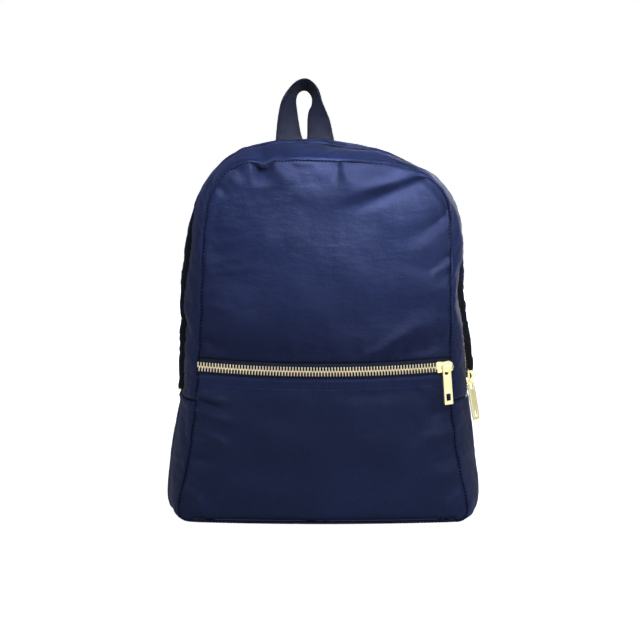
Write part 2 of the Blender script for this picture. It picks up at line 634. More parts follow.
def gold_mat(name, col, rough, wear=0.5, glow=0.3):
    """Light gold plating over zinc: polished, with faint handling marks and tarnish in the hollows."""
    m = Mat(name, uv=False)
    n1 = m.noise(m.co, 160.0, 4.0, 0.6)
    n2 = m.noise(m.scaled(m.co, 900, 90, 900), 1.0, 2.0, 0.6)
    deep = tuple(x * k for x, k in zip(col[:3], (0.78, 0.66, 0.42))) + (1,)
    c = m.mix(m.maprange(n1, 0.42, 0.75, 0.0, wear), col, deep)
    m.link(c, m.p.inputs["Base Color"])
    m.p.inputs["Metallic"].default_value = 1.0
    lw = m.node("ShaderNodeLayerWeight")
    lw.inputs["Blend"].default_value = 0.45
    m.p.inputs["Emission Color"].default_value = tuple(col[:3]) + (1,)
    m.link(m.maprange(lw.outputs["Facing"], 0.10, 0.42, glow, 0.03), m.p.inputs["Emission Strength"])
    r = m.math("ADD", m.maprange(n1, 0.3, 0.8, rough, rough + 0.14), m.maprange(n2, 0.5, 0.8, 0.0, 0.07))
    m.link(r, m.p.inputs["Roughness"])
    m.link(m.bump(m.math("ADD", n1, n2), 0.04, 0.00005), m.p.inputs["Normal"])
    return m.m


def thread_mat(name, col):
    m = Mat(name, uv=False)
    w = m.wave(m.scaled(m.co, 100, 100, 100), 9.0, "DIAGONAL", 0.0)
    m.link(m.mix(m.maprange(w, 0.2, 0.8, 0.0, 0.5), col, tuple(min(1, x * 1.8) for x in col[:3]) + (1,)), m.p.inputs["Base Color"])
    m.p.inputs["Roughness"].default_value = 0.85
    m.p.inputs["Specular IOR Level"].default_value = 0.08
    m.link(m.bump(w, 0.5, 0.0002), m.p.inputs["Normal"])
    return m.m


def plastic_mat(name, col):
    m = Mat(name, uv=False)
    g = m.noise(m.co, 1400.0, 3.0, 0.6)
    w = m.noise(m.co, 120.0, 3.0, 0.5)
    m.link(m.mix(m.maprange(w, 0.4, 0.8, 0.0, 0.4), col, tuple(x * 1.9 for x in col[:3]) + (1,)), m.p.inputs["Base Color"])
    m.link(m.maprange(w, 0.3, 0.8, 0.42, 0.6), m.p.inputs["Roughness"])
    m.link(m.bump(g, 0.25, 0.00015), m.p.inputs["Normal"])
    return m.m


NAVY = nylon("navy_nylon", srgb(20, 28, 57), srgb(25, 34, 69), srgb(35, 46, 88), 0.08, (0.46, 0.58))
NAVY_FACE = nylon("navy_nylon_panel", srgb(20, 27, 53), srgb(25, 33, 64), srgb(34, 45, 82), 0.08, (0.46, 0.58), 0.52)
NAVY_LOW = nylon("navy_nylon_pocket", srgb(23, 30, 55), srgb(28, 36, 65), srgb(37, 47, 83), 0.08, (0.46, 0.58))
LINING = lining_mat("lining_cloth", srgb(38, 46, 80))
WEB = webbing_mat("grosgrain", srgb(11, 16, 33), srgb(22, 29, 54))
TAPE = tape_mat("pocket_zip_tape", srgb(17, 25, 42), srgb(30, 42, 66))
TAPE_BLACK = tape_mat("main_zip_tape", srgb(5, 6, 10), srgb(11, 13, 19))
GOLD = gold_mat("gold_plate", (0.97, 0.90, 0.52, 1), 0.22, 0.18, 0.80)
GOLD_TEETH = gold_mat("gold_teeth", (0.95, 0.84, 0.62, 1), 0.26, 0.4, 0.30)
THREAD_DARK = thread_mat("thread_dark", srgb(4, 5, 13))
THREAD_BLUE = thread_mat("thread_blue", srgb(36, 46, 118))
THREAD_NAVY = thread_mat("thread_navy", srgb(20, 26, 54))
PLASTIC = plastic_mat("black_acetal", srgb(22, 24, 30))
MESHY = lining_mat("strap_mesh", srgb(30, 36, 62))


def paint(ob, mat):
    ob.data.materials.clear()
    ob.data.materials.append(mat)
    return ob


# ------------------------------------------------------------------ creases (mm, on the front plane: x, z)
# (x0, z0, x1, z1, height, half width on the left of the direction, half width on the right, end fade)
CREASES_UP = [
    # dimple under the seam, top left, and the swells beside it
    (-61, 362, -56.5, 336, -5.8, 6.0, 6.0, 0.35), (-70, 350, -66, 330, 1.2, 7, 6, 0.5), (-43, 352, -38, 332, 1.4, 6, 8, 0.5),
    # small pucker right of the middle
    (15, 354, 13, 335, -1.3, 2.6, 3.4, 0.5), (20, 352, 24, 334, 0.8, 3, 5, 0.5),
    # pleats in the seam at the left shoulder
    (-104, 330, -94, 322, -1.5, 3.0, 3.0, 0.5), (-84, 348, -76, 338, -1.4, 3.0, 3.2, 0.5), (-92, 340, -82, 330, 1.0, 4, 4, 0.5),
    # long diagonal fold from the right shoulder
    (108, 345, 24, 318, 3.6, 4.5, 17.0, 0.30), (100, 335, 36, 309, -1.6, 6.0, 7.0, 0.4),
    # folds running in from the right-hand seam
    (126, 306, 92, 279, -2.2, 4.6, 7.0, 0.35), (126, 294, 98, 270, 1.0, 7, 6, 0.4),
    (126, 263, 104, 250, -1.6, 4.0, 6.0, 0.4), (126, 247, 108, 235, -1.3, 4.0, 5.0, 0.4), (125, 255, 106, 243, 0.5, 4, 4, 0.4),
    # broad soft swell above the zip's right end
    (34, 158, 92, 196, 2.0, 6.0, 8.0, 0.4), (92, 170, 116, 186, -1.1, 8, 8, 0.4),
    # shallow hollows down the left side and across the middle
    (-112, 290, -86, 240, -1.4, 16, 16, 0.5), (-100, 220, -70, 190, 1.2, 14, 14, 0.5), (-20, 240, 30, 225, -0.9, 16, 18, 0.5),
    (60, 290, 100, 300, 1.0, 12, 12, 0.5), (-30, 322, 20, 318, 0.8, 10, 14, 0.5), (-118, 182, -96, 172, -1.3, 5, 7, 0.4),
    (-60, 270, -20, 285, 0.8, 14, 12, 0.5), (20, 190, 70, 215, -0.9, 12, 14, 0.5),
]
CREASES_LOW = [
    (-124, 128, -96, 121, 1.7, 3.4, 3.6, 0.35), (-126, 112, -88, 100, 1.6, 4.0, 4.2, 0.35), (-112, 88, -90, 76, 1.3, 4.5, 4.5, 0.4),
    (-124, 120, -100, 113, -1.1, 3.2, 3.2, 0.4), (-128, 66, -104, 58, -1.0, 6, 6, 0.4),
    (126, 120, 104, 106, -1.4, 6, 6, 0.4), (128, 92, 100, 84, 1.2, 7, 7, 0.4), (132, 52, 108, 44, 1.4, 9, 8, 0.4),
    (-60, 110, 10, 96, -0.9, 18, 18, 0.5), (30, 90, 90, 60, 0.9, 18, 16, 0.5), (-90, 40, -20, 30, 0.9, 14, 12, 0.5),
    (20, 128, 80, 132, -0.7, 8, 8, 0.5), (-136, 34, -118, 14, 1.3, 7, 6, 0.4), (134, 30, 116, 10, 1.4, 8, 7, 0.4),
]


def creases(x, z, table):
    out = np.zeros_like(x)
    for x0, z0, x1, z1, h, wl, wr, fade in table:
        dx, dz = x1 - x0, z1 - z0
        l = math.hypot(dx, dz)
        ux, uz = dx / l, dz / l
        a = ((x - x0) * ux + (z - z0) * uz) / l
        b = (x - x0) * (-uz) + (z - z0) * ux
        w = np.where(b > 0, wl, wr) * (0.75 + 0.5 * np.clip(a, 0, 1))
        along = smooth((a + fade * 0.4) / fade) * smooth((1 + fade - a) / (2 * fade))
        out += h * np.exp(-(b / w) ** 2) * along
    return out


# ------------------------------------------------------------------ front panels
def zip_edge(x, offset):
    """Height of the cloth's folded edge along the pocket zip, offset up from the chain."""
    y = PANEL_YC - np.sqrt(PANEL_R ** 2 - x ** 2)
    y0 = Y_FRONT - BULGE - 0.4
    return Z_POCKET + (offset + (y - y0) * math.sin(ALPHA)) / math.cos(ALPHA)


def front_region(upper):
    """Boundary of the panel in (x, z), with the part of it that is the zip's edge."""
    off = 8.2 if upper else -7.2
    xs = np.linspace(-126, 126, 400)
    edge = np.stack([xs, zip_edge(xs, off)], 1)
    poly = O_FRONT
    sel = inside(edge, poly)
    edge = edge[sel]
    if upper:
        arc = poly[(poly[:, 1] > np.interp(poly[:, 0], xs, zip_edge(xs, off)) + 0.5)]
        k = np.argmin(np.where(arc[:, 0] > 0, arc[:, 1], 1e9))
        arc = np.roll(arc, -k, axis=0)
        ring = np.vstack([resample_open(arc, 2.3), resample_open(edge[1:-1], 2.3)])
    else:
        z = np.interp(poly[:, 0], xs, zip_edge(xs, off))
        low = poly[:, 1] < z - 0.5
        k = np.nonzero(low & ~np.roll(low, 1))[0][0]
        arc = np.roll(poly, -k, axis=0)[np.roll(low, -k)]
        ring = np.vstack([resample_open(arc, 2.3), resample_open(edge[1:-1][::-1], 2.3)])
    return ring, arc, edge


def build_front(upper):
    ring, arc, edge = front_region(upper)
    v2, faces = fill(ring, 2.9, (0.55, 1.2, 2.1, 3.4, 5.2))
    x, z = v2[:, 0], v2[:, 1]
    d_seam = polyline_distance(v2, arc)
    d_edge = polyline_distance(v2, edge)
    y = panel_y(x, z)
    v = np.stack([x, y, z], 1)
    # faces look forwards (-Y)
    f0 = faces[0]
    n = np.cross(v[f0[1]] - v[f0[0]], v[f0[2]] - v[f0[0]])
    if n[1] > 0:
        faces = [tuple(reversed(f)) for f in faces]
    pin = np.maximum(1 - np.clip(d_seam / 5.0, 0, 1), 1 - np.clip(d_edge / 4.0, 0, 1))
    pin = np.where(np.minimum(d_seam, d_edge) < 0.8, 1.0, pin * 0.85)
    sim = simulate("front_up" if upper else "front_low", v, faces, pin, pressure=2.2, grow=0.022, cap=4.5, bend=0.25)
    dy = np.clip((sim - v), -4, 4)
    v = v + dy * np.array([0.55, 0.60, 0.55])
    # keep the middle from swelling past the CAD's depth
    swell = (sim - v)[:, 1]
    fade = smooth(d_edge / 9.0) if upper else smooth((d_edge - 9.0) / 10.0)
    v[:, 1] -= (2.1 if upper else 2.7) * creases(x, z, CREASES_UP if upper else CREASES_LOW) * fade * smooth(d_seam / 3.0 + 0.35)
    amp = fbm(v, 52.0, 3 if upper else 5, 2) * 1.5 + fbm(v * np.array([1, 1, 0.7]), 19.0, 8, 2) * 0.42
    v[:, 1] += amp * fade * smooth(d_seam / 14.0)
    # puckers that fan out from the seam
    q = np.stack([np.arctan2(z - 170.0, x) * 150.0, z * 0, d_seam * 0.25], 1)
    v[:, 1] += fbm(q, 7.5, 12, 2) * 0.75 * np.exp(-(d_seam / 9.0) ** 2) * fade
    # seam allowance rolls inwards, zip edges fold under
    v[:, 1] += 2.6 * np.exp(-(d_seam / 1.45) ** 2)
    v[:, 1] += 1.1 * np.exp(-(d_edge / 0.8) ** 2)
    if not upper:
        # doubled hem between the zip and the second row of stitching
        v[:, 1] -= 0.85 * (1 - smooth((d_edge - 3.6) / 2.0)) + 0.35 * (1 - smooth((d_edge - 11.0) / 1.6))
        for row in (2.6, 10.4):
            v[:, 1] += 0.38 * np.exp(-((d_edge - row) / 0.75) ** 2)
        v[:, 1] += 5.0 * np.clip(1 - z / 11.0, 0, 1) ** 2 * (np.abs(x) < 128)
    else:
        v[:, 1] -= 0.9 * (1 - smooth((d_edge - 4.0) / 2.0))
        v[:, 1] += 0.30 * np.exp(-((d_edge - 2.4) / 0.7) ** 2)
    uv = np.stack([x, z], 1) * 0.1
    return v, faces, uv, d_seam, d_edge, arc, edge


def finish_cloth(name, v, faces, uv, mat, body, nodes, thick=0.9, blend=None, lining=None):
    sv, sf, suv = shell(v, faces, thick, uv)
    ob = paint(new_mesh(name, sv, sf, suv), mat)
    if blend:
        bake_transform(ob)
    else:
        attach(ob, body)
    if nodes:
        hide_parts(*nodes)
    if lining:
        lname, gap, lnodes = lining
        n = tri_normals(v, faces)
        lv = v - n * gap
        k, kf, kuv = shell(lv, faces, 0.5, uv)
        lo = paint(new_mesh(lname, k, kf, kuv), LINING)
        if blend:
            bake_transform(lo)
        else:
            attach(lo, body)
        if lnodes:
            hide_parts(*lnodes)
    return ob


FOLD_BLEND = ("bag", "flap", (0, FOLD_Y * MM, (FOLD_Z - 4) * MM), (0, FOLD_Y * MM, (FOLD_Z + 26) * MM))
STRIP_BLEND = ("bag", "flap", (0, FOLD_Y * MM, (Z_GUSSET + 4) * MM), (0, FOLD_Y * MM, (FOLD_Z + 40) * MM))

up_v, up_f, up_uv, up_ds, up_de, up_arc, up_edge = build_front(True)
finish_cloth("front_panel_cloth", up_v, up_f, up_uv, NAVY_FACE, None, ["front_panel_upper", "front_panel_lower_edge"],
             blend=FOLD_BLEND, lining=("front_panel_lining_cloth", 2.6, ["front_panel_lining"]))
lo_v, lo_f, lo_uv, lo_ds, lo_de, lo_arc, lo_edge = build_front(False)
finish_cloth("pocket_cloth", lo_v, lo_f, lo_uv, NAVY_LOW, "bag", ["pocket_panel"])


# ------------------------------------------------------------------ gusset strips
def strip_grid(y0, y1, nv, upper=True, step=2.4):
    """Grid of stations and depths for one strip; y0 and y1 are numbers or functions of the station."""
    out_s, out_y = [], []
    ncol = None
    for j in range(nv):
        t = j / (nv - 1)
        base = np.array([0.0])
        ya = y0 if not callable(y0) else -56.0
        yb = y1 if not callable(y1) else -56.0
        y = ya + (yb - ya) * t
        sr, sl = station_at_z(np.array([y]), Z_GUSSET, 1)[0], station_at_z(np.array([y]), Z_GUSSET, -1)[0]
        if upper:
            a, b = sr, sl
        else:
            a, b = sl - N, sr
        if ncol is None:
            ncol = int(round(abs(b - a) * 0.945 / step)) + 1
        s = np.linspace(a, b, ncol)
        ys = y0(s) if callable(y0) else np.full(ncol, y0)
        ye = y1(s) if callable(y1) else np.full(ncol, y1)
        out_s.append(s)
        out_y.append(ys + (ye - ys) * t)
    return np.array(out_s).T, np.array(out_y).T          # (ncol, nv)


def edge_weights(nu, nv, w, lens):
    pass


def build_strip(name, y0, y1, nv, upper, seed, seam_front, seam_back, hem_front, hem_back, pucker=0.8, swell=1.0, ends=True):
    S, Y = strip_grid(y0, y1, nv, upper)
    nu, nv = S.shape
    P = skin(S, Y)
    v = P.reshape(-1, 3)
    faces = grid_faces(nu, nv, flip=not upper)
    # faces must look outwards
    n = tri_normals(v, faces)
    c = v - np.array([0, 0, 180.0])
    if (n[:, 0] * c[:, 0] + n[:, 2] * c[:, 2]).mean() < 0:
        faces = [tuple(reversed(f)) for f in faces]
        n = -n
    du = np.concatenate([[0], np.cumsum(np.linalg.norm(np.diff(P[:, nv // 2], axis=0), axis=1))])
    U = np.repeat(du[:, None], nv, 1)
    W = np.concatenate([np.zeros((nu, 1)), np.cumsum(np.linalg.norm(np.diff(P, axis=1), axis=2), axis=1)], 1)
    d0, d1 = W, W[:, -1:] - W
    e0, e1 = U, du[-1] - U
    flat = lambda a: a.reshape(-1)
    pin = np.maximum(1 - np.clip(np.minimum(d0, d1) / 3.0, 0, 1), 1 - np.clip(np.minimum(e0, e1) / 3.0, 0, 1))
    pin = np.where(pin > 0.7, 1.0, pin * 0.7)
    if swell > 0:
        sim = simulate(name, v, faces, flat(pin), pressure=2.0, grow=0.03, cap=4.0, bend=0.12)
        v = v + np.clip(sim - v, -3.0, 3.0) * 0.55 * swell
    k = fbm(np.stack([flat(U), flat(W) * 0.35, flat(U) * 0], 1), 9.0, seed, 2)
    k2 = fbm(np.stack([flat(U) + flat(W) * 0.9, flat(W) * 0.6, flat(U) * 0], 1), 26.0, seed + 4, 2)
    near = np.exp(-(flat(np.minimum(d0, d1)) / 9.0) ** 2)
    lift = pucker * (k * (0.35 + 0.75 * near) + 0.9 * k2 * (1 - near))
    hold = smooth(flat(np.minimum(d0, d1)) / 2.5 + 0.15)
    v = v + n * (lift * hold)[:, None]
    if seam_front:
        v = v - n * (1.9 * np.exp(-(flat(d0) / 1.5) ** 2))[:, None]
    if seam_back:
        v = v - n * (1.9 * np.exp(-(flat(d1) / 1.5) ** 2))[:, None]
    if hem_front:
        v = v - n * (0.9 * np.exp(-(flat(d0) / 0.7) ** 2) + 0.32 * np.exp(-((flat(d0) - 2.6) / 0.8) ** 2))[:, None]
    if hem_back:
        v = v - n * (0.9 * np.exp(-(flat(d1) / 0.7) ** 2) + 0.32 * np.exp(-((flat(d1) - 2.6) / 0.8) ** 2))[:, None]
    if ends:
        e = flat(np.minimum(e0, e1))
        v = v - n * (1.5 * np.exp(-(e / 1.4) ** 2))[:, None]
    uv = np.stack([flat(W), flat(U)], 1) * 0.1
    return v, faces, uv, n, (S, Y, U, W, nu, nv)


front_y = lambda s: seam_y(s)
fs_v, fs_f, fs_uv, fs_n, fs_g = build_strip("front_strip", front_y, -GUSSET_GAP, 21, True, 21, True, False, False, True, 0.75)
finish_cloth("front_strip_cloth", fs_v, fs_f, fs_uv, NAVY, None, ["front_zip_strip", "front_zip_strip_ends"],
             blend=STRIP_BLEND, lining=("front_strip_lining_cloth", 2.4, ["front_strip_lining"]))
rs_v, rs_f, rs_uv, rs_n, rs_g = build_strip("rear_strip", GUSSET_GAP, Y_BACK, 18, True, 33, False, True, True, False, 0.7)
finish_cloth("rear_strip_cloth", rs_v, rs_f, rs_uv, NAVY, "bag", ["rear_zip_strip"],
             lining=("rear_strip_lining_cloth", 2.4, ["rear_strip_lining"]))
bg_v, bg_f, bg_uv, bg_n, bg_g = build_strip("bottom_gusset", front_y, Y_BACK, 50, False, 45, True, True, False, False, 0.8, 0.8)
low = bg_v[:, 2]
flat_w = smooth((14 - low) / 12.0) * (np.abs(bg_v[:, 0]) < 130)
bg_v[:, 2] = np.where(flat_w > 0, low * (1 - flat_w) + np.clip(low, 0.25, 2.2) * flat_w, low)
finish_cloth("bottom_gusset_cloth", bg_v, bg_f, bg_uv, NAVY, "bag", ["bottom_gusset"],
             lining=("bottom_gusset_lining_cloth", 2.4, ["bottom_gusset_lining"]))


# ------------------------------------------------------------------ back panel (padded)
def build_back():
    ring = resample_closed(O_BACK, 420)
    v2, faces = fill(ring, 4.2, (0.6, 1.4, 2.6, 4.2))
    x, z = v2[:, 0], v2[:, 1]
    d = polyline_distance(v2, np.vstack([ring, ring[:1]]))
    v = np.stack([x, np.full(len(x), Y_BACK + 0.6), z], 1)
    f0 = faces[0]
    if np.cross(v[f0[1]] - v[f0[0]], v[f0[2]] - v[f0[0]])[1] < 0:
        faces = [tuple(reversed(f)) for f in faces]
    pin = np.where(d < 1.0, 1.0, 0.8 * (1 - np.clip(d / 5.0, 0, 1)))
    sim = simulate("back", v, faces, pin, pressure=2.0, grow=0.018, cap=3.5, bend=0.4)
    v = v + np.clip(sim - v, -3, 3) * 0.35
    v[:, 1] += 1.0 * smooth(d / 22.0) + fbm(v, 40.0, 51, 2) * 0.5 * smooth(d / 12.0)
    v[:, 1] -= 2.4 * np.exp(-(d / 1.5) ** 2)
    q = np.stack([np.arctan2(z - 170.0, x) * 150.0, z * 0, d * 0.25], 1)
    v[:, 1] += fbm(q, 8.0, 14, 2) * 0.6 * np.exp(-(d / 9.0) ** 2)
    return v, faces, np.stack([-x, z], 1) * 0.1, d


bk_v, bk_f, bk_uv, bk_d = build_back()
finish_cloth("back_panel_cloth", bk_v, bk_f, bk_uv, NAVY, "bag", ["back_panel", "back_foam_pad"], thick=5.2,
             lining=("back_lining_cloth", 6.4, ["back_lining"]))


# pocket back wall: loose lining cloth behind the pocket
def build_wall():
    ring = []
    m = O_FRONT.copy()
    c = np.array([0, 90.0])
    low = m[m[:, 1] < FOLD_Z - 2]
    k = np.argmax(np.linalg.norm(np.diff(np.vstack([low, low[:1]]), axis=0), axis=1))
    low = np.roll(low, -(k + 1), axis=0)
    low = low * np.array([0.965, 0.99]) + np.array([0, 1.6])
    top = np.stack([np.linspace(low[-1, 0], low[0, 0], 90)[1:-1], np.full(88, low[0, 1])], 1)
    ring = np.vstack([resample_open(low, 4.0), resample_open(top, 4.0)])
    v2, faces = fill(ring, 5.0, (1.0, 2.4))
    x, z = v2[:, 0], v2[:, 1]
    v = np.stack([x, np.full(len(x), Y_FRONT + 8.3), z], 1)
    v[:, 1] += fbm(v, 34.0, 61, 3) * 1.3 * smooth(polyline_distance(v2, np.vstack([ring, ring[:1]])) / 12.0)
    f0 = faces[0]
    if np.cross(v[f0[1]] - v[f0[0]], v[f0[2]] - v[f0[0]])[1] > 0:
        faces = [tuple(reversed(f)) for f in faces]
    return v, faces, np.stack([x, z], 1) * 0.1


w_v, w_f, w_uv = build_wall()
wv, wf, wuv = shell(w_v, w_f, 0.5, w_uv)
wall = paint(new_mesh("pocket_back_wall_cloth", wv, wf, wuv), LINING)
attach(wall, "bag"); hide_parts("pocket_back_wall")


# ------------------------------------------------------------------ main zip: tapes and teeth
def sunk(y, x, z):
    """The zip lies lower than the hems on either side of it, least so where it opens at the right."""
    deep = 5.4 - 2.5 * smooth((x - 60) / 40.0) * (1 - smooth((z - 172) / 14.0))
    return deep * (1 - smooth((np.abs(y) - 3.0) / 8.0))


def tape_piece(name, y0, y1, inset, body, nodes, blend=None, z_from=Z_GUSSET + 0.6):
    nv = 9
    rows_s, rows_y = [], []
    for j in range(nv):
        y = y0 + (y1 - y0) * j / (nv - 1)
        a, b = station_at_z(np.array([y]), z_from, 1)[0], station_at_z(np.array([y]), z_from, -1)[0]
        rows_s.append(np.linspace(a, b, 420))
        rows_y.append(np.full(420, y))
    S, Y = np.array(rows_s).T, np.array(rows_y).T
    P0s = at_s(O_MID, S)
    P = skin(S, Y, inset + sunk(Y, P0s[..., 0], P0s[..., 1]))
    v = P.reshape(-1, 3)
    f = grid_faces(420, nv)
    n = tri_normals(v, f)
    if (n[:, 0] * v[:, 0] + n[:, 2] * (v[:, 2] - 180)).mean() < 0:
        f = [tuple(reversed(q)) for q in f]
    # cord along the inner edge
    sv, sf, _ = shell(v, f, TAPE_T)
    ob = paint(new_mesh(name, sv, sf), TAPE_BLACK)
    if blend:
        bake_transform(ob)
    else:
        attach(ob, body)
    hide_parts(*nodes)
    return ob


tape_piece("main_zip_tape_front_cloth", -TAPE_OUT, -2.4, 1.3, None, ["main_zip_tape_front", "main_zip_tape_front_ends"], STRIP_BLEND)
tape_piece("main_zip_tape_rear_cloth", 2.4, TAPE_OUT, 1.3, "bag", ["main_zip_tape_rear"])


def tooth_template():
    """One cast tooth on the +v side: a rounded jaw over the cord, narrowing to a nib past the centre line."""
    st = [(-0.62, 0.36, 0.70), (-0.38, 0.58, 1.00), (0.25, 0.66, 1.22), (0.9, 0.64, 1.30), (1.6, 0.54, 1.34), (2.4, 0.56, 1.40),
          (3.6, 0.60, 1.42), (4.2, 0.56, 1.25), (4.45, 0.38, 0.9)]
    k = 12
    v, f = [], []
    for (y, hu, hn) in st:
        for i in range(k):
            a = 2 * math.pi * (i + 0.5) / k
            cu, cn = math.cos(a), math.sin(a)
            e = 0.45
            v.append((hu * math.copysign(abs(cu) ** e, cu), y, hn * math.copysign(abs(cn) ** e, cn)))
    for j in range(len(st) - 1):
        for i in range(k):
            a, b = j * k + i, j * k + (i + 1) % k
            f.append((a, a + k, b + k, b))
    f.append(tuple(range(k)))
    f.append(tuple(reversed(range((len(st) - 1) * k, len(st) * k))))
    v = np.array(v)
    n = tri_normals(v, [q for q in f if len(q) == 4])
    if (n[:, 0] * v[:, 0] + n[:, 2] * v[:, 2]).mean() < 0:
        f = [tuple(reversed(q)) for q in f]
    return v, f


TOOTH_V, TOOTH_F = tooth_template()


def place_all(frames, tv, tf):
    """frames: list of (origin, u, v, n).  One mesh with a copy of the template at each."""
    vs, fs, k = [], [], 0
    for o, u, w, n in frames:
        vs.append(o + tv[:, :1] * u + tv[:, 1:2] * w + tv[:, 2:] * n)
        flip = np.dot(np.cross(u, w), n) < 0
        fs += [tuple(reversed([i + k for i in q])) if flip else tuple(i + k for i in q) for q in tf]
        k += len(tv)
    return np.vstack(vs), fs


CHAIN = None
chain_s = np.linspace(station_at_z(np.array([0.0]), Z_CHAIN_END, 1)[0], station_at_z(np.array([0.0]), Z_CHAIN_END, -1)[0], 3000)
chain_m = at_s(O_MID, chain_s)
chain_pts = skin(chain_s, np.zeros(3000), 1.3 + TAPE_T / 2 + sunk(np.zeros(3000), chain_m[:, 0], chain_m[:, 1]))
cs = np.concatenate([[0], np.cumsum(np.linalg.norm(np.diff(chain_pts, axis=0), axis=1))])


def chain_frames(side):
    out, k = [], 0
    while True:
        s = TOOTH_PITCH * (k + (0.5 if side > 0 else 0.0)) + 1.0
        if s > cs[-1] - 1.0:
            return out
        p = np.array([np.interp(s, cs, chain_pts[:, i]) for i in range(3)])
        q = np.array([np.interp(s + 0.5, cs, chain_pts[:, i]) for i in range(3)])
        r = np.array([np.interp(s - 0.5, cs, chain_pts[:, i]) for i in range(3)])
        t = (q - r) / np.linalg.norm(q - r)
        n = np.array([t[2], 0, -t[0]])
        if side < 0 and k < 2:
            p = p + n * (2.6 + 0.5 * k) + np.array([0, -1.2 + 1.6 * k, 0])
        out.append((p, t, np.array([0, float(side), 0]), n))
        k += 1


v, f = place_all(chain_frames(-1), TOOTH_V, TOOTH_F)
ob = paint(new_mesh("main_zip_teeth_front_row", v, f), GOLD_TEETH)
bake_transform(ob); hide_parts("main_zip_teeth_front", "main_zip_teeth_front_ends")
v, f = place_all(chain_frames(1), TOOTH_V, TOOTH_F)
ob = paint(new_mesh("main_zip_teeth_rear_row", v, f), GOLD_TEETH)
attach(ob, "bag"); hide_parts("main_zip_teeth_rear")

# ------------------------------------------------------------------ pocket zip: tapes (CAD) and teeth
P0 = np.array([0.0, Y_FRONT - BULGE - 0.4, Z_POCKET])
DIR = np.array([0, -math.cos(ALPHA), -math.sin(ALPHA)])
AXIS = np.array([0, -math.sin(ALPHA), math.cos(ALPHA)])
CENTRE = P0 - DIR * PANEL_R
LEAN_UP = np.array([0, math.sin(LEAN), math.cos(LEAN)])
LEAN_OUT = np.array([0, -math.cos(LEAN), math.sin(LEAN)])


def about_axis(p, ang, is_dir=False):
    k = AXIS
    q = p if is_dir else p - CENTRE
    r = q * math.cos(ang) + np.cross(k, q) * math.sin(ang) + k * np.dot(k, q) * (1 - math.cos(ang))
    return r if is_dir else r + CENTRE


def pocket_frames(up):
    half = int(121.8 / POCKET_PITCH)
    step = POCKET_PITCH / PANEL_R
    out = []
    for k in range(-half, half + (1 if up else 0)):
        a = (k if up else k + 0.5) * step
        out.append((about_axis(P0, a), about_axis(np.array([1.0, 0, 0]), a, True), about_axis(LEAN_UP * (1 if up else -1), a, True),
                    about_axis(LEAN_OUT, a, True)))
    return out


def pocket_tape(name, node, sign, v_end):
    """Woven tape round the pocket's arc: rounded cord under the teeth, outer part tucked behind the folded cloth."""
    rows = [(1.9, -0.35, 0.5), (2.4, 0.0, 0.75), (3.2, 0.08, 0.78), (4.2, 0.0, 0.45), (5.2, -0.25, 0.4), (6.2, -0.8, 0.4), (7.4, -1.7, 0.4),
            (v_end, -2.1, 0.4)]
    m = 150
    verts = []
    for k in range(m):
        a = math.radians(-13.62 + 27.24 * k / (m - 1))
        o, up, outw = about_axis(P0, a), about_axis(LEAN_UP * sign, a, True), about_axis(LEAN_OUT, a, True)
        top = [o + up * r[0] + outw * (r[1] + r[2]) for r in rows]
        bot = [o + up * r[0] + outw * (r[1] - r[2]) for r in reversed(rows)]
        verts += top + bot
    kk = 2 * len(rows)
    f = [(i * kk + j, i * kk + (j + 1) % kk, (i + 1) * kk + (j + 1) % kk, (i + 1) * kk + j) for i in range(m - 1) for j in range(kk)]
    f.append(tuple(range(kk)))
    f.append(tuple(reversed(range((m - 1) * kk, m * kk))))
    ob = paint(new_mesh(name, np.array(verts), f), TAPE)
    bm_fix(ob)
    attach(ob, "bag"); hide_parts(node)


pocket_tape("pocket_zip_tape_upper_cloth", "pocket_zip_tape_upper", 1, 10.6)
pocket_tape("pocket_zip_tape_lower_cloth", "pocket_zip_tape_lower", -1, 9.4)

for up, name in ((True, "pocket_zip_teeth_upper"), (False, "pocket_zip_teeth_lower")):
    v, f = place_all(pocket_frames(up), TOOTH_V, TOOTH_F)
    ob = paint(new_mesh(name + "_row", v, f), GOLD_TEETH)
    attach(ob, "bag"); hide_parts(name)


# ------------------------------------------------------------------ stitching
def stitches(name, pts, nrm, dash, gap, r, mat, body=None, blend=None, sink=0.0):
    """Dashes of thread along a polyline (mm), lying on the surface with normals nrm."""
    s = np.concatenate([[0], np.cumsum(np.linalg.norm(np.diff(pts, axis=0), axis=1))])
    vs, fs, k, x = [], [], 0, gap
    ring = 6
    while x + dash < s[-1]:
        for j, t in enumerate((0.0, 0.22, 0.5, 0.78, 1.0)):
            q = x + dash * t
            c = np.array([np.interp(q, s, pts[:, i]) for i in range(3)])
            n = np.array([np.interp(q, s, nrm[:, i]) for i in range(3)])
            n /= np.linalg.norm(n)
            a = np.array([np.interp(q + 0.3, s, pts[:, i]) for i in range(3)])
            b = np.array([np.interp(q - 0.3, s, pts[:, i]) for i in range(3)])
            t3 = (a - b) / max(1e-9, np.linalg.norm(a - b))
            w = np.cross(n, t3)
            rr = r * (0.35, 0.85, 1.0, 0.85, 0.35)[j]
            c = c + n * (0.55 * r * (0.0, 0.7, 1.0, 0.7, 0.0)[j] - sink)
            for i in range(ring):
                an = 2 * math.pi * i / ring
                vs.append(c + w * (rr * math.cos(an)) + n * (rr * math.sin(an)))
        for j in range(4):
            for i in range(ring):
                p, q2 = k + j * ring + i, k + j * ring + (i + 1) % ring
                fs.append((p, p + ring, q2 + ring, q2))
        fs.append(tuple(k + i for i in range(ring)))
        fs.append(tuple(k + 4 * ring + i for i in reversed(range(ring))))
        k += 5 * ring
        x += dash + gap
    ob = paint(new_mesh(name, np.array(vs), fs), mat)
    bm_fix(ob)
    if blend:
        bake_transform(ob)
    else:
        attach(ob, body)
    return ob


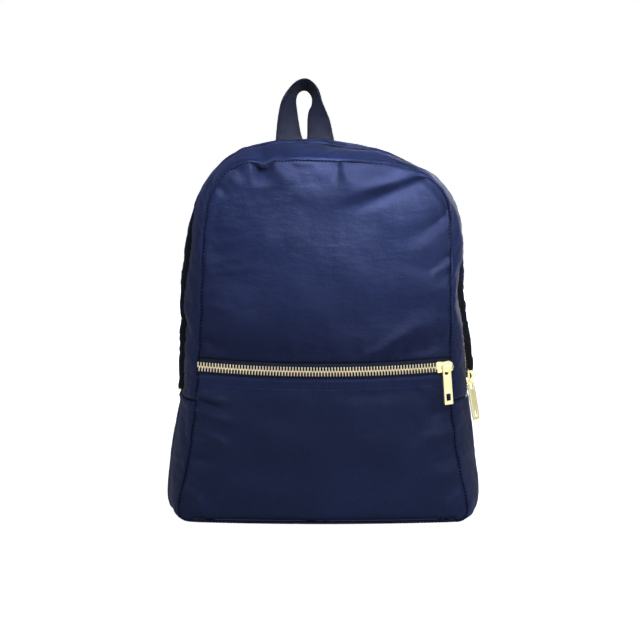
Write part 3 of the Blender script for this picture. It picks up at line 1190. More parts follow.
def nearest_on(v, faces, q2, axes=(0, 2)):
    """Snap plane points to the surface mesh: average of the nearest vertices."""
    n = tri_normals(v, faces)
    out_p, out_n = [], []
    vv = v[:, axes]
    for p in q2:
        d = ((vv - p) ** 2).sum(1)
        i = np.argpartition(d, 4)[:4]
        w = 1 / (d[i] + 0.05)
        w /= w.sum()
        y = (v[i, 1] * w).sum()
        out_p.append((p[0], y, p[1]))
        out_n.append((n[i] * w[:, None]).sum(0))
    return np.array(out_p), np.array(out_n)


def offset_line(line, d):
    """Move an open plane polyline sideways by d (to its left)."""
    t = np.gradient(line, axis=0)
    t /= np.linalg.norm(t, axis=1, keepdims=True)
    return line + np.stack([-t[:, 1], t[:, 0]], 1) * d


# pocket topstitching, two rows below the zip, and one above it
for row, dd in enumerate((2.6, 10.4)):
    line = lo_edge.copy()
    line = line[np.argsort(line[:, 0])]
    line = resample_open(offset_line(line, -dd)[6:-6], 1.2)
    p, n = nearest_on(lo_v, lo_f, line)
    stitches("pocket_topstitch_%d" % (row + 1), p, n, 2.3, 1.0, 0.32, THREAD_BLUE, "bag")
line = up_edge[np.argsort(up_edge[:, 0])]
line = resample_open(offset_line(line, 2.4)[6:-6], 1.2)
p, n = nearest_on(up_v, up_f, line)
stitches("panel_topstitch", p, n, 2.3, 1.0, 0.22, THREAD_NAVY, None, ("bag", "flap", FOLD_BLEND[2], FOLD_BLEND[3]))

# seam stitches: seen as dark dashes down in the groove between panel and gusset
seam3 = np.stack([O_FRONT[:, 0], panel_y(O_FRONT[:, 0], O_FRONT[:, 1]), O_FRONT[:, 1]], 1)
cen = np.array([0, 0, 175.0])
for upper, name in ((True, "front_seam_stitches_upper"), (False, "front_seam_stitches_lower")):
    z0 = Z_GUSSET + 1
    if upper:
        i0, i1 = int(station_at_z(np.array([-56.0]), z0, 1)[0]), int(station_at_z(np.array([-56.0]), z0, -1)[0])
        idx = np.arange(i0, i1)
    else:
        i0, i1 = int(station_at_z(np.array([-56.0]), z0, -1)[0]) - N, int(station_at_z(np.array([-56.0]), z0, 1)[0])
        idx = np.arange(i0, i1) % N
    p = resample_open(seam3[idx], 1.0)
    if upper:
        # the last few stitches at the right lie under the pocket zip's slider
        first = int(np.argmax(p[:, 2] > 161.0)) if p[0, 0] > 0 else 0
        last = len(p) if p[0, 0] > 0 else int(len(p) - np.argmax(p[::-1, 2] > 161.0))
        p = p[first:last]
    rad = (p - cen) * np.array([1, 0, 1])
    rad /= np.linalg.norm(rad, axis=1, keepdims=True)
    nn = rad * 0.35 + np.array([0, -0.94, 0])
    p = p + np.array([0, -0.75, 0]) - rad * 1.7
    stitches(name, p, nn, 2.6, 0.9, 0.70, THREAD_DARK, "bag" if not upper else None, STRIP_BLEND if upper else None)


def strip_line(g, v, n, dist, from_back=False):
    """Polyline along a strip at a given distance from one of its long edges."""
    S, Y, U, W, nu, nv = g
    V3, N3 = v.reshape(nu, nv, 3), n.reshape(nu, nv, 3)
    pts, nr = [], []
    for i in range(nu):
        w = W[i] if not from_back else (W[i, -1] - W[i])[::-1]
        a = V3[i] if not from_back else V3[i][::-1]
        b = N3[i] if not from_back else N3[i][::-1]
        pts.append([np.interp(dist, w, a[:, k]) for k in range(3)])
        nr.append([np.interp(dist, w, b[:, k]) for k in range(3)])
    return np.array(pts), np.array(nr)


p, n = strip_line(fs_g, fs_v, fs_n, 2.6, True)
stitches("front_strip_topstitch", resample_open(p, 1.2), np.stack([np.interp(np.linspace(0, 1, len(resample_open(p, 1.2))), np.linspace(0, 1, len(n)), n[:, k]) for k in range(3)], 1),
         2.3, 1.0, 0.22, THREAD_NAVY, None, STRIP_BLEND)
p, n = strip_line(rs_g, rs_v, rs_n, 2.6, False)
q = resample_open(p, 1.2)
stitches("rear_strip_topstitch", q, np.stack([np.interp(np.linspace(0, 1, len(q)), np.linspace(0, 1, len(n)), n[:, k]) for k in range(3)], 1),
         2.3, 1.0, 0.22, THREAD_NAVY, "bag")
bseam = np.stack([O_BACK[:, 0], np.full(N, Y_BACK + 0.1), O_BACK[:, 1]], 1)
bseam = np.vstack([bseam, bseam[:1]])
q = resample_open(bseam, 1.2)
rad = (q - cen) * np.array([1, 0, 1])
rad /= np.linalg.norm(rad, axis=1, keepdims=True)
stitches("back_seam_stitches", q - rad * 1.0, rad * 0.6 + np.array([0, 0.8, 0]), 2.3, 1.1, 0.38, THREAD_DARK, "bag")

# ------------------------------------------------------------------ grab handle
HX, HY, HZ, WEB_W, WEB_T, LOOP_H = -18.0, 58.2, 365.0, 25.6, 1.8, 62.0
LOOP_LEAN, TOP_TILT = math.radians(9.0), math.radians(21.0)
LOOP = [(-15.9, 0.0), (-15.9, 9.0), (-15.6, 18.0), (-15.0, 27.0), (-13.9, 36.0), (-12.0, 44.5), (-9.2, 52.0), (-5.3, 57.6),
        (0.0, 60.0), (5.3, 57.6), (9.2, 52.0), (12.0, 44.5), (13.9, 36.0), (15.0, 27.0), (15.6, 18.0), (15.9, 9.0), (15.9, 0.0)]
TURN = [0, 2, 7, 16, 30, 47, 64, 79, 90, 101, 116, 133, 150, 164, 173, 178, 180]


def spline(points, n):
    """Natural smooth resampling of an open list of rows."""
    p = np.array(points, float)
    k = len(p)
    t = np.arange(k, dtype=float)
    u = np.linspace(0, k - 1, n)
    out = []
    for x in u:
        i = min(int(x), k - 2)
        f = x - i
        p0, p1, p2, p3 = p[max(0, i - 1)], p[i], p[i + 1], p[min(k - 1, i + 2)]
        out.append(0.5 * ((2 * p1) + (-p0 + p2) * f + (2 * p0 - 5 * p1 + 4 * p2 - p3) * f ** 2 + (-p0 + 3 * p1 - 3 * p2 + p3) * f ** 3))
    return np.array(out)


def ribbon(name, centres, widths, normals, half_w, half_t, mat, cup=0.0, ribs=0.0, close_ends=True):
    """Flat tape with rounded selvedges along centres; widths and normals are unit vectors, half_w may vary."""
    m = len(centres)
    hw = np.broadcast_to(half_w, (m,))
    prof = []
    nseg = 12
    for i in range(nseg + 1):
        prof.append((-1 + 2 * i / nseg, 1.0))
    for i in range(nseg + 1):
        prof.append((1 - 2 * i / nseg, -1.0))
    v, uv = [], []
    sl = np.concatenate([[0], np.cumsum(np.linalg.norm(np.diff(centres, axis=0), axis=1))])
    for i in range(m):
        for a, side in prof:
            edge = max(0.0, (abs(a) - 0.88) / 0.12)
            t = half_t * side * (1 - 0.65 * edge ** 2)
            bow = cup * (1 - a * a)
            rb = ribs * side * math.sin(sl[i] * 2 * math.pi / 1.5)
            v.append(centres[i] + widths[i] * (a * hw[i]) + normals[i] * (t + bow + rb))
            uv.append((a * hw[i] * 0.1, sl[i] * 0.1))
    k = len(prof)
    f = []
    for i in range(m - 1):
        for j in range(k):
            a, b = i * k + j, i * k + (j + 1) % k
            f.append((a, b, b + k, a + k))
    if close_ends:
        f.append(tuple(reversed(range(k))))
        f.append(tuple((m - 1) * k + j for j in range(k)))
    ob = paint(new_mesh(name, np.array(v), f, np.array(uv)), mat)
    bm_fix(ob)
    return ob


# outer and inner edge of the loop as seen from the front: (outer across, outer up, inner across, inner up)
LOOP_EDGES = [(-29.2, -1.5, -2.3, -1.5), (-29.2, 1.2, -2.3, 1.2), (-28.6, 11.2, -3.7, 8.3), (-27.5, 21.3, -5.4, 17.0), (-25.9, 31.4, -7.0, 27.0),
              (-23.9, 40.0, -8.2, 35.7), (-21.0, 46.5, -8.9, 42.1), (-16.7, 52.9, -8.5, 47.2), (-11.6, 58.7, -7.0, 50.8), (-6.6, 62.4, -4.4, 53.2),
              (-1.6, 64.0, -1.1, 54.2), (3.5, 63.4, 2.2, 53.4), (8.5, 59.8, 4.9, 50.8), (12.8, 54.4, 6.8, 47.2), (15.4, 47.9, 7.2, 43.6),
              (17.4, 40.7, 6.5, 38.8), (20.7, 32.8, 3.9, 33.5), (24.1, 24.9, 2.6, 25.6), (26.5, 16.3, 2.3, 17.0), (28.0, 8.3, 2.2, 9.1),
              (29.0, 1.2, 2.0, 1.2), (29.0, -1.5, 2.0, -1.5)]


def loop_frames(n):
    e = spline(LOOP_EDGES, n)
    o, i = e[:, 0:2], e[:, 2:4]
    d = i - o
    wide = np.linalg.norm(d, axis=1)
    deep = np.sqrt(np.maximum(WEB_W ** 2 - wide ** 2, 0.0))
    ker = np.hanning(15) / np.hanning(15).sum()
    deep = np.convolve(np.pad(deep, 7, mode="edge"), ker, mode="valid")
    mid = (o + i) / 2
    mid[:, 1] -= 3.6 * smooth(mid[:, 1] / 14.0)
    el = math.radians(7.0)
    lean = math.tan(LOOP_LEAN)
    dz = mid[:, 1] / (math.cos(el) + lean * math.sin(el))
    dy = dz * lean
    c = np.stack([HX + mid[:, 0], HY + dy, HZ + 1.2 + dz], 1)
    w = np.stack([d[:, 0], deep, (d[:, 1] - deep * math.sin(el)) / math.cos(el)], 1)
    half = np.maximum(np.linalg.norm(w, axis=1), 22.0) / 2
    w /= np.linalg.norm(w, axis=1, keepdims=True)
    t = np.gradient(c, axis=0)
    t /= np.linalg.norm(t, axis=1, keepdims=True)
    nn = np.cross(t, w)
    nn /= np.linalg.norm(nn, axis=1, keepdims=True)
    return c, w, nn, half


c, w, n, half_w = loop_frames(230)
ob = ribbon("grab_handle_webbing", c, w, n, half_w, WEB_T / 2, WEB, cup=0.0, ribs=0.05)
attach(ob, "handle"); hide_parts("grab_handle")
# the legs run on down under the back seam
anchor_c = np.stack([np.full(8, HX), np.full(8, 58.35), np.linspace(362.9, 349.5, 8)], 1)
ob = ribbon("grab_handle_patch", anchor_c, np.tile([[1.0, 0, 0]], (8, 1)), np.tile([[0, 1.0, 0]], (8, 1)), 29.0, 0.75, WEB)
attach(ob, "bag"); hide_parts("grab_handle_anchor")
box_st = np.array([[-27, 0, 361.4], [27, 0, 361.4], [27, 0, 351.5], [-27, 0, 351.5], [-27, 0, 361.4], [27, 0, 351.5], [27, 0, 361.4],
                   [-27, 0, 351.5]], float) + np.array([HX, 59.1, 0])
q = resample_open(box_st, 1.0)
stitches("grab_handle_patch_stitches", q, np.tile([[0, 1.0, 0.0]], (len(q), 1)), 2.0, 0.9, 0.24, THREAD_NAVY, "bag")

# ------------------------------------------------------------------ shoulder straps
AX, BX, AZ, BZ = 42.0, 117.0, 322.0, 44.0
YB = Y_BACK + 1.1
AB_Y = YB + 5.0
PAD_W, PAD_T, LOW_W = 50.0, 7.0, 25.0
BOW = [(0.060, 15.5), (0.085, 20.5), (0.12, 26.0), (0.18, 32.5), (0.25, 36.5), (0.33, 38.3), (0.41, 38.0), (0.49, 35.6), (0.57, 31.4),
       (0.66, 26.0)]
ROOT = [(-0.045, -3.1), (-0.03, -2.2), (-0.01, 0.2), (0.012, 3.4), (0.034, 8.0)]
LOW_A, LOW_B = (0.668, 25.5), (0.985, 4.0)
TAB = [(0.975, 4.7), (0.993, 3.3), (1.02, 0.4), (1.05, -1.6), (1.085, -2.7)]


def strap_frame(side):
    a, b = np.array([side * AX, AB_Y, AZ]), np.array([side * BX, AB_Y, BZ])
    e1 = (b - a) / np.linalg.norm(b - a)
    e2 = np.array([0, 1.0, 0])
    return a, b, e1, e2, np.cross(e1, e2), float(np.linalg.norm(b - a))


def bow_line(side, st, n):
    a, b, e1, e2, e3, L = strap_frame(side)
    p = spline(st, n)
    c = a + p[:, :1] * L * e1 + p[:, 1:2] * e2
    t = np.gradient(c, axis=0)
    t /= np.linalg.norm(t, axis=1, keepdims=True)
    nn = np.cross(e3[None], t)
    nn *= np.sign(nn[:, 1:2])
    return p[:, 0], c, np.tile(e3, (n, 1)), nn


def pad_width(f):
    return PAD_W - 5 * (1 - smooth((f - 0.05) / 0.12)) - 13 * smooth((f - 0.42) / 0.24)


def pad_mesh(name, side):
    st = ROOT + BOW
    m = 130
    f, c, w, n = bow_line(side, st, m)
    k = 40
    hw = pad_width(f) / 2
    hw = np.where(f < 0.05, 20.0 + (hw - 20.0) * smooth((f + 0.02) / 0.07), hw)
    ht = 1.2 + 3.3 * smooth((f - 0.005) / 0.075) * (1 - 0.72 * smooth((f - 0.615) / 0.045))
    v, uv = [], []
    for i in range(m):
        for j in range(k):
            a = 2 * math.pi * j / k
            ca, sa = math.cos(a), math.sin(a)
            x = math.copysign(abs(ca) ** 0.55, ca) * hw[i]
            e = abs(x) / hw[i]
            thick = ht[i] * (1 - 0.78 * smooth((e - 0.80) / 0.17))     # flattens to a sewn edge
            y = math.copysign(abs(sa) ** 0.75, sa) * thick
            seam = 0.7 * math.exp(-((hw[i] - abs(x) - 5.4) / 0.9) ** 2) * (1 if sa > 0 else -1) * (abs(sa) ** 0.5)
            v.append(c[i] + w[i] * x + n[i] * (y - seam))
            uv.append((x * 0.1, i * 0.25))
    v = np.array(v)
    faces = grid_faces(m, k)
    faces = [(i * k + j, i * k + (j + 1) % k, (i + 1) * k + (j + 1) % k, (i + 1) * k + j) for i in range(m - 1) for j in range(k)]
    v0 = v.copy()
    wrink = fbm(v, 13.0, 71 + side, 2) * 0.35 + fbm(v, 34.0, 75 + side, 2) * 0.5
    nn = tri_normals(v, faces)
    v = v + nn * wrink[:, None]
    faces.append(tuple(reversed(range(k))))
    faces.append(tuple((m - 1) * k + j for j in range(k)))
    ob = paint(new_mesh(name, v, faces, np.array(uv)), NAVY)
    bm_fix(ob)
    return ob, f, c, w, n, hw


for side, sname in ((-1, "left"), (1, "right")):
    body = sname + "_strap"
    a, b, e1, e2, e3, L = strap_frame(side)
    start, end = a + e1 * (-0.01 * L), a + e1 * (0.075 * L)
    bl = ("bag", body, tuple(start * MM), tuple(end * MM))
    ob, f, c, w, n, hw = pad_mesh(sname + "_strap_pad", side)
    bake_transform(ob)
    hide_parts(sname + "_strap_cover", sname + "_strap_foam", sname + "_strap_root")
    # spacer-mesh face towards the wearer
    sel = (f > 0.09) & (f < 0.64)
    ht = 3.3 + 0 * f
    cc = c[sel] - n[sel] * 4.35
    ob = ribbon(sname + "_strap_inner_face", cc, w[sel], n[sel], hw[sel] * 0.70, 0.45, MESHY)
    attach(ob, body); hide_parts(sname + "_strap_lining")
    # edge binding and topstitching on the pad
    for es, en in ((-1, "in"), (1, "out")):
        sl = (f > 0.0)
        p = c[sl] + w[sl] * (es * (hw[sl] - 5.4))[:, None] + n[sl] * (1.0 + 2.6 * smooth((f[sl] - 0.005) / 0.075) * (1 - 0.72 * smooth((f[sl] - 0.615) / 0.045)))[:, None]
        stitches("%s_strap_stitch_%s" % (sname, en), p, n[sl], 2.6, 1.1, 0.3, THREAD_NAVY, None, bl)
        q = c[sl] + w[sl] * (es * (hw[sl] - 0.6))[:, None]
        ob = ribbon("%s_strap_binding_%s" % (sname, en), q, w[sl], n[sl], 2.4, 1.25, WEB)
        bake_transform(ob)
    # webbing, its folded end and the tab
    mm = 60
    fl, cl, wl, nl = bow_line(side, [(0.640, 27.4), LOW_A, ((LOW_A[0] + LOW_B[0]) / 2, (LOW_A[1] + LOW_B[1]) / 2), LOW_B, (1.012, 2.2)], mm)
    straight = np.clip((fl - LOW_A[0]) / (LOW_B[0] - LOW_A[0]), -0.09, 1.09)
    L0 = a + e1 * (LOW_A[0] * L) + e2 * LOW_A[1]
    L1 = a + e1 * (LOW_B[0] * L) + e2 * LOW_B[1]
    cl = L0 + straight[:, None] * (L1 - L0)
    tt = (L1 - L0) / np.linalg.norm(L1 - L0)
    nn = np.cross(e3, tt); nn = nn * np.sign(nn[1])
    ob = ribbon(sname + "_strap_webbing_tape", cl, wl, np.tile(nn, (mm, 1)), LOW_W / 2, 0.75, WEB, ribs=0.05)
    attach(ob, body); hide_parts(sname + "_strap_webbing")
    # stitched block that joins webbing and pad
    blk = np.array([[-10, 0.655], [10, 0.655], [10, 0.628], [-10, 0.628], [-10, 0.655], [10, 0.628]])
    fi = np.interp(blk[:, 1], f, np.arange(len(f)))
    pts = np.array([[np.interp(k, np.arange(len(f)), (c + n * 1.9)[:, d]) for d in range(3)] for k in fi]) + w[0] * blk[:, :1]
    q = resample_open(pts, 1.0)
    stitches(sname + "_strap_block_stitches", q, np.tile(n[-1], (len(q), 1)), 1.9, 0.8, 0.26, THREAD_NAVY, body)
    # lower tab: a folded triangle of shell cloth from the side seam
    ft, ct, wt, nt = bow_line(side, TAB, 26)
    hw_t = 14.5 + 6.5 * smooth((ft - 1.0) / 0.085)
    ob = ribbon(sname + "_strap_lower_tab_cloth", ct, wt, nt, hw_t, 1.5, NAVY, cup=0.2)
    t0, t1 = a + e1 * (0.99 * L), a + e1 * (1.06 * L)
    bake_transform(ob)
    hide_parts(sname + "_strap_lower_tab")
    rows = [(0.985, -11), (0.985, 11), (1.012, 11), (1.012, -11), (0.985, -11)]
    pts = np.array([[np.interp(r, ft, (ct + nt * 1.6)[:, d]) for d in range(3)] for r, _ in rows]) + wt[0] * np.array([[x] for _, x in rows])
    q = resample_open(pts, 1.0)
    stitches(sname + "_strap_tab_stitches", q, np.tile(nt[5], (len(q), 1)), 1.9, 0.8, 0.26, THREAD_NAVY, None,
             (body, "bag", tuple(t0 * MM), tuple(t1 * MM)))

# yoke: a sewn-on patch that hides the strap ends
def build_yoke():
    hw, zc, hh = 74.0, 330.0, 15.5
    nu, nv = 60, 18
    v, uv = [], []
    for i in range(nu):
        for j in range(nv):
            a, b = -1 + 2 * i / (nu - 1), -1 + 2 * j / (nv - 1)
            x = a * hw * (1 - 0.05 * max(0, -b))
            z = zc + b * hh - 5.0 * (abs(a) ** 3) * (b > 0) * b
            e = min(1 - abs(a), (1 - abs(b)) * hh / hw) * hw
            y = YB + 1.6 + 1.4 * float(smooth(e / 5.0)) + 0.5 * math.exp(-((e - 2.8) / 0.8) ** 2) * -1.0
            v.append((x, y, z)); uv.append((x * 0.1, z * 0.1))
    v = np.array(v)
    v[:, 1] += fbm(v, 16.0, 91, 2) * 0.35
    f = grid_faces(nu, nv)
    n = tri_normals(v, f)
    if n[:, 1].mean() < 0:
        f = [tuple(reversed(q)) for q in f]
    return v, f, np.array(uv)


yv, yf, yuv = build_yoke()
sv, sf, suv = shell(yv, yf, 1.2, yuv)
ob = paint(new_mesh("strap_yoke_cloth", sv, sf, suv), NAVY)
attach(ob, "bag"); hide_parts("strap_yoke")
yr = []
for a, b in ([(x, 1) for x in np.linspace(-1, 1, 50)] + [(1, x) for x in np.linspace(1, -1, 14)] +
             [(x, -1) for x in np.linspace(1, -1, 50)] + [(-1, x) for x in np.linspace(-1, 1, 14)]):
    aa, bb = a * (1 - 2.8 / 74.0), b * (1 - 2.8 / 15.5)
    yr.append((aa * 74.0 * (1 - 0.05 * max(0, -bb)), YB + 2.75, 330.0 + bb * 15.5 - 5.0 * (abs(aa) ** 3) * (bb > 0) * bb))
q = resample_open(np.array(yr), 1.0)
stitches("strap_yoke_stitches", q, np.tile([[0, 1.0, 0]], (len(q), 1)), 2.3, 1.0, 0.26, THREAD_NAVY, "bag")

# ------------------------------------------------------------------ zip sliders and pulls
def offset_ring(p, d):
    t1 = p - np.roll(p, 1, axis=0)
    t2 = np.roll(p, -1, axis=0) - p
    t1 /= np.linalg.norm(t1, axis=1, keepdims=True)
    t2 /= np.linalg.norm(t2, axis=1, keepdims=True)
    n = np.stack([-(t1 + t2)[:, 1], (t1 + t2)[:, 0]], 1)
    n /= np.maximum(np.linalg.norm(n, axis=1, keepdims=True), 1e-9)
    k = np.clip((n * np.stack([-t1[:, 1], t1[:, 0]], 1)).sum(1, keepdims=True), 0.5, 1)
    return p + n * d / k


def rounded(points, r, per=4):
    """Closed polygon with every corner turned into a small arc."""
    p = np.array(points, float)
    out = []
    for a, b, c in zip(np.roll(p, 1, axis=0), p, np.roll(p, -1, axis=0)):
        u, w = a - b, c - b
        lu, lw = np.linalg.norm(u), np.linalg.norm(w)
        q = min(r, lu * 0.45, lw * 0.45)
        s0, s1 = b + u / lu * q, b + w / lw * q
        for k in range(per + 1):
            t = k / per
            out.append((1 - t) ** 2 * s0 + 2 * t * (1 - t) * b + t * t * s1)
    out = np.array(out)
    area = 0.5 * np.sum(out[:, 0] * np.roll(out[:, 1], -1) - np.roll(out[:, 0], -1) * out[:, 1])
    return out if area > 0 else out[::-1]


def plate(outer, holes, thick, bevel=0.3, dome=0.0):
    """A flat casting in (s, q, n) with eased edges and holes through it."""
    rings = [outer] + [h[::-1] for h in holes]
    ins = [offset_ring(r, bevel) for r in rings]
    pts, cons, k = [], [], 0
    for r in ins:
        pts += [Vector(p) for p in r]
        cons += [(k + i, k + (i + 1) % len(r)) for i in range(len(r))]
        k += len(r)
    res = delaunay_2d_cdt(pts, cons, [], 1, 1e-6)
    v2 = np.array([[c[0], c[1]] for c in res[0]])
    tri = []
    for f in res[2]:
        c = v2[list(f)].mean(0)[None]
        if inside(c, ins[0])[0] and not any(inside(c, h)[0] for h in ins[1:]):
            tri.append(tuple(f))
    m = len(v2)
    src = np.vstack(ins)
    index = [int(np.argmin(((v2 - p) ** 2).sum(1))) for p in src]
    h = thick / 2
    v = [(x, y, h) for x, y in v2] + [(x, y, -h) for x, y in v2]
    f = list(tri) + [tuple(reversed([i + m for i in t])) for t in tri]
    base = len(v)
    allr = np.vstack(rings)
    v += [(x, y, h - bevel) for x, y in allr] + [(x, y, -h + bevel) for x, y in allr]
    k, na = 0, len(allr)
    for r in rings:
        n = len(r)
        for i in range(n):
            a, b = k + i, k + (i + 1) % n
            f.append((index[a], base + a, base + b, index[b]))
            f.append((base + a, base + na + a, base + na + b, base + b))
            f.append((base + na + a, index[a] + m, index[b] + m, base + na + b))
        k += n
    return np.array(v), f


def bar(path, ru, rv, side, power=0.6, k=14):
    """Rounded bar along a path; ru across (towards side), rv at right angles, tapering allowed."""
    path = np.array(path, float)
    m = len(path)
    t = np.gradient(path, axis=0)
    t /= np.linalg.norm(t, axis=1, keepdims=True)
    ru, rv = np.broadcast_to(ru, (m,)), np.broadcast_to(rv, (m,))
    v, f = [], []
    for i in range(m):
        a = np.asarray(side, float)
        b = np.cross(t[i], a)
        b /= np.linalg.norm(b)
        for j in range(k):
            g = 2 * math.pi * j / k
            c, s_ = math.cos(g), math.sin(g)
            v.append(path[i] + a * (ru[i] * math.copysign(abs(c) ** power, c)) + b * (rv[i] * math.copysign(abs(s_) ** power, s_)))
    for i in range(m - 1):
        for j in range(k):
            f.append((i * k + j, i * k + (j + 1) % k, (i + 1) * k + (j + 1) % k, (i + 1) * k + j))
    f.append(tuple(range(k)))
    f.append(tuple(reversed(range((m - 1) * k, m * k))))
    return np.array(v), f


def joined(parts):
    vs, fs, k = [], [], 0
    for v, f in parts:
        vs.append(v)
        fs += [tuple(i + k for i in q) for q in f]
        k += len(v)
    return np.vstack(vs), fs


def metal(name, v, f, origin, u, w, n, body, node):
    v = origin + v[:, :1] * u + v[:, 1:2] * w + v[:, 2:] * n
    ob = paint(new_mesh(name, v, f, smooth_shade=False), GOLD)
    bm_fix(ob)
    bev = ob.modifiers.new("soft", "BEVEL")
    bev.width, bev.segments, bev.limit_method, bev.angle_limit = 0.00012, 2, "ANGLE", math.radians(35)
    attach(ob, body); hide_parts(node)
    return ob


def slider_parts(length, head, tail, bail):
    """Two wings joined by a wedge, flared at the tail, with the pull's bail on top (in u along, w across, n out)."""
    L, H, T = length / 2, head / 2, tail / 2
    wing = rounded([(L, H * 0.62), (L * 0.55, H), (-L * 0.15, H * 0.86), (-L * 0.92, T * 1.02), (-L, T * 0.9), (-L, -T * 0.9), (-L * 0.92, -T * 1.02),
                    (-L * 0.15, -H * 0.86), (L * 0.55, -H), (L, -H * 0.62)], 1.2)
    top, f1 = plate(wing, [], 1.4, 0.45)
    low, f2 = plate(wing, [], 1.2, 0.4)
    wedge, f3 = plate(rounded([(L - 0.6, 1.6), (L * 0.2, 0.5), (L * 0.2, -0.5), (L - 0.6, -1.6)], 0.4), [], 3.4, 0.1)
    parts = [(top + np.array([0, 0, 2.35]), f1), (low - np.array([0, 0, 2.2]), f2), (wedge, f3)]
    ang = np.linspace(0, math.pi, 22)
    path = np.stack([bail[0] + bail[1] * np.cos(ang), np.zeros(22), 2.6 + bail[2] * np.sin(ang) ** 0.85], 1)
    parts.append(bar(path, bail[3] * (1 - 0.18 * np.abs(np.cos(ang))), 1.15 + 0.35 * np.sin(ang), (0, 1, 0)))
    # a low saddle under the bail
    path = np.stack([np.linspace(-L * 0.7, L * 0.75, 12), np.zeros(12), 2.9 + 0.5 * np.sin(np.linspace(0, math.pi, 12))], 1)
    parts.append(bar(path, 1.9, 0.55, (0, 1, 0)))
    return joined(parts)


# pocket slider, sitting at the right-hand end of its arc
pa = math.asin(117.2 / PANEL_R)
v, f = slider_parts(15.6, 11.6, 11.0, (1.6, 5.6, 4.6, 2.3))
po, pu, pw, pn = about_axis(P0, pa), about_axis(np.array([1.0, 0, 0]), pa, True), about_axis(LEAN_UP, pa, True), about_axis(LEAN_OUT, pa, True)
metal("pocket_slider_cast", v, f, po, pu, pw, pn, "pocket_zip_slider", "pocket_slider")
PULL_OUT = rounded([(-3.9, 2.6), (3.9, 3.4), (4.5, -1.0), (4.75, -36.6), (-4.75, -36.6), (-4.4, -1.0)], 1.1)
PULL_TOP = rounded([(-2.5, -7.6), (1.6, -7.6), (2.7, -5.6), (2.7, -0.6), (1.8, 0.8), (-2.5, -2.6)], 0.6)
PULL_LOW = rounded([(-2.5, -32.8), (2.4, -32.8), (2.4, -26.2), (-2.5, -26.2)], 0.5)
v, f = plate(PULL_OUT, [PULL_TOP, PULL_LOW], 2.6, 0.4)
tilt, twist = math.radians(3.4), math.radians(17.0)
pv = np.array([118.6, -63.6, 154.6])
outv = np.array([0.20568, -0.97691, 0.05775])
upv = np.array([0, 0, 1.0]) - outv * outv[2]
upv /= np.linalg.norm(upv)
sv = np.cross(upv, -outv)
sv *= np.sign(sv[0])
d_up = upv * math.cos(tilt) - sv * math.sin(tilt)
s_ax = sv * math.cos(tilt) + upv * math.sin(tilt)
s2 = s_ax * math.cos(twist) - outv * math.sin(twist)
n2 = np.cross(s2, d_up)
n2 *= np.sign(np.dot(n2, outv))
metal("pocket_pull_cast", v, f, pv, s2, d_up, n2, "pocket_zip_tab", "pocket_zip_pull")

# main slider and its pull on the right-hand side
mdir, mout = np.array([-0.0404, 0, 0.9992]), np.array([0.9992, 0, 0.0404])
v, f = slider_parts(14.0, 11.0, 10.0, (0.9, 5.9, 4.6, 2.3))
metal("main_slider_cast", v, f, np.array([141.18, 0, 136.31]), -mdir, np.array([0, 1.0, 0]), mout, "main_zip_slider", "main_slider")
MAIN_OUT = rounded([(-3.2, 2.6), (3.2, 2.6), (4.3, -1.5), (4.6, -33.0), (3.2, -36.6), (-3.2, -36.6), (-4.6, -33.0), (-4.3, -1.5)], 2.4, 6)
MAIN_TOP = rounded([(-1.9, -5.0), (1.9, -5.0), (1.9, 0.8), (-1.9, 0.8)], 0.8)
MAIN_LOW = rounded([(-1.5, -33.0), (1.5, -33.0), (1.5, -27.4), (-1.5, -27.4)], 0.7)
v, f = plate(MAIN_OUT, [MAIN_TOP, MAIN_LOW], 2.4, 0.4)
hang, twist = math.radians(9.5), math.radians(48.0)
d_up = np.array([-math.sin(hang), 0, math.cos(hang)])
flat_n = np.array([math.cos(hang), 0, math.sin(hang)])
s2 = np.array([0, 1.0, 0]) * math.cos(twist) + flat_n * math.sin(twist)
n2 = np.cross(s2, d_up)
metal("main_pull_cast", v, f, np.array([145.9, -1.2, 129.0]), s2, d_up, n2, "main_zip_tab", "main_zip_pull")

# ------------------------------------------------------------------ carried-over CAD nodes
for name, mat in (("back_seam_binding", TAPE_BLACK), ("main_zip_stop", GOLD), ("left_strap_slide", PLASTIC), ("right_strap_slide", PLASTIC)):
    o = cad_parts[name]
    paint(o, mat)
for name in ("main_zip_stop", "left_strap_slide", "right_strap_slide"):
    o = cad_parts[name]
    bev = o.modifiers.new("edges", "BEVEL")
    bev.width, bev.segments, bev.limit_method, bev.angle_limit = 0.0003, 2, "ANGLE", math.radians(40)

# ------------------------------------------------------------------ stage, lights, camera
def plane(name, size, z, mat):
    me = bpy.data.meshes.new(name)
    s = size / 2
    me.from_pydata([(-s, -s, z), (s, -s, z), (s, s, z), (-s, s, z)], [], [(0, 1, 2, 3)])
    ob = bpy.data.objects.new(name, me)
    scene.collection.objects.link(ob)
    return paint(ob, mat)


fm = Mat("floor_pale", uv=False)
fm.p.inputs["Base Color"].default_value = (0.80, 0.80, 0.80, 1)
fm.p.inputs["Roughness"].default_value = 0.8
fm.p.inputs["Specular IOR Level"].default_value = 0.1
lp = fm.node("ShaderNodeLightPath")
fm.p.inputs["Emission Color"].default_value = (1, 1, 1, 1)
fm.link(fm.math("MULTIPLY", lp.outputs["Is Camera Ray"], 0.93), fm.p.inputs["Emission Strength"])
floor = plane("floor", 30.0, -0.0006, fm.m)

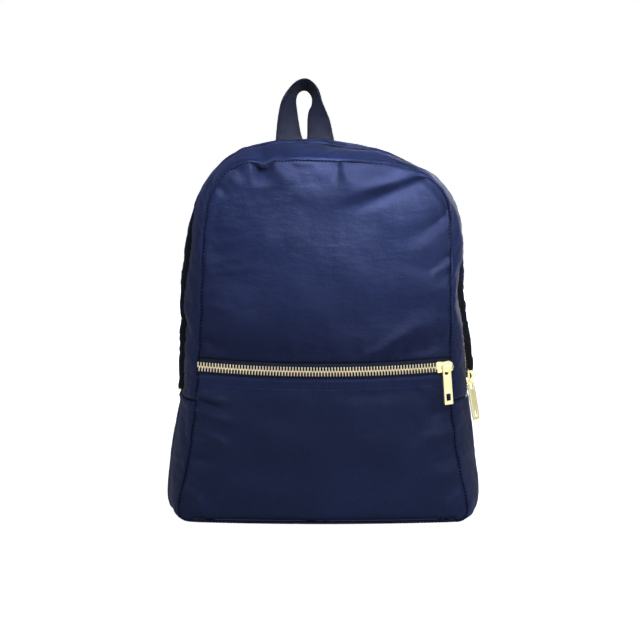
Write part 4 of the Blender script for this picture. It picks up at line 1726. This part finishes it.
world = bpy.data.worlds.new("studio")
scene.world = world
world.use_nodes = True
wt = world.node_tree
bg = wt.nodes["Background"]
bg.inputs[0].default_value = (1, 1, 1, 1)
lpw = wt.nodes.new("ShaderNodeLightPath")
mr = wt.nodes.new("ShaderNodeMapRange")
mr.inputs["To Min"].default_value = 0.13
mr.inputs["To Max"].default_value = 1.0
wt.links.new(lpw.outputs["Is Camera Ray"], mr.inputs["Value"])
wt.links.new(mr.outputs[0], bg.inputs[1])


def area(name, loc, target, size, power, size_y=None, color=(1, 1, 1)):
    l = bpy.data.lights.new(name, "AREA")
    l.shape = "RECTANGLE"
    l.size, l.size_y = size, size_y or size
    l.energy = power
    l.color = color
    o = bpy.data.objects.new(name, l)
    scene.collection.objects.link(o)
    o.location = loc
    o.rotation_euler = (Vector(target) - Vector(loc)).to_track_quat("-Z", "Y").to_euler()
    return o


key = area("key_top", (0.26, -1.45, 1.15), (0.05, -0.05, 0.385), 0.22, 0.58, 0.22)
key.data.spread = math.radians(13)
area("soft_top", (-0.15, -0.75, 1.6), (0, 0, 0.3), 0.8, 0.2, 0.6)
area("soft_front", (0.32, -1.85, 1.55), (0, 0, 0.2), 0.8, 19.0)
area("side_right", (1.4, -0.9, 0.8), (0, 0, 0.2), 0.5, 7.0)
area("side_left", (-1.4, -0.8, 0.7), (0, 0, 0.2), 0.5, 5.0)
area("back_fill", (0.4, 2.0, 0.30), (0, 0, 0.20), 0.9, 20.0, 0.5)

cam = bpy.data.cameras.new("camera")
cam.sensor_width = 36.0
DIST, ELEV = 2.6, math.radians(7.0)
cam.lens = 36.0 * DIST / (640 * 0.985 * MM)
cam.clip_end = 60
co = bpy.data.objects.new("camera", cam)
scene.collection.objects.link(co)
tgt = Vector((-0.00295, 0.0, 0.1922))
co.location = tgt + Vector((0, -math.cos(ELEV), math.sin(ELEV))) * DIST
co.rotation_euler = (tgt - co.location).to_track_quat("-Z", "Y").to_euler()
scene.camera = co
scene.view_settings.view_transform = "Standard"
scene.frame_set(1)
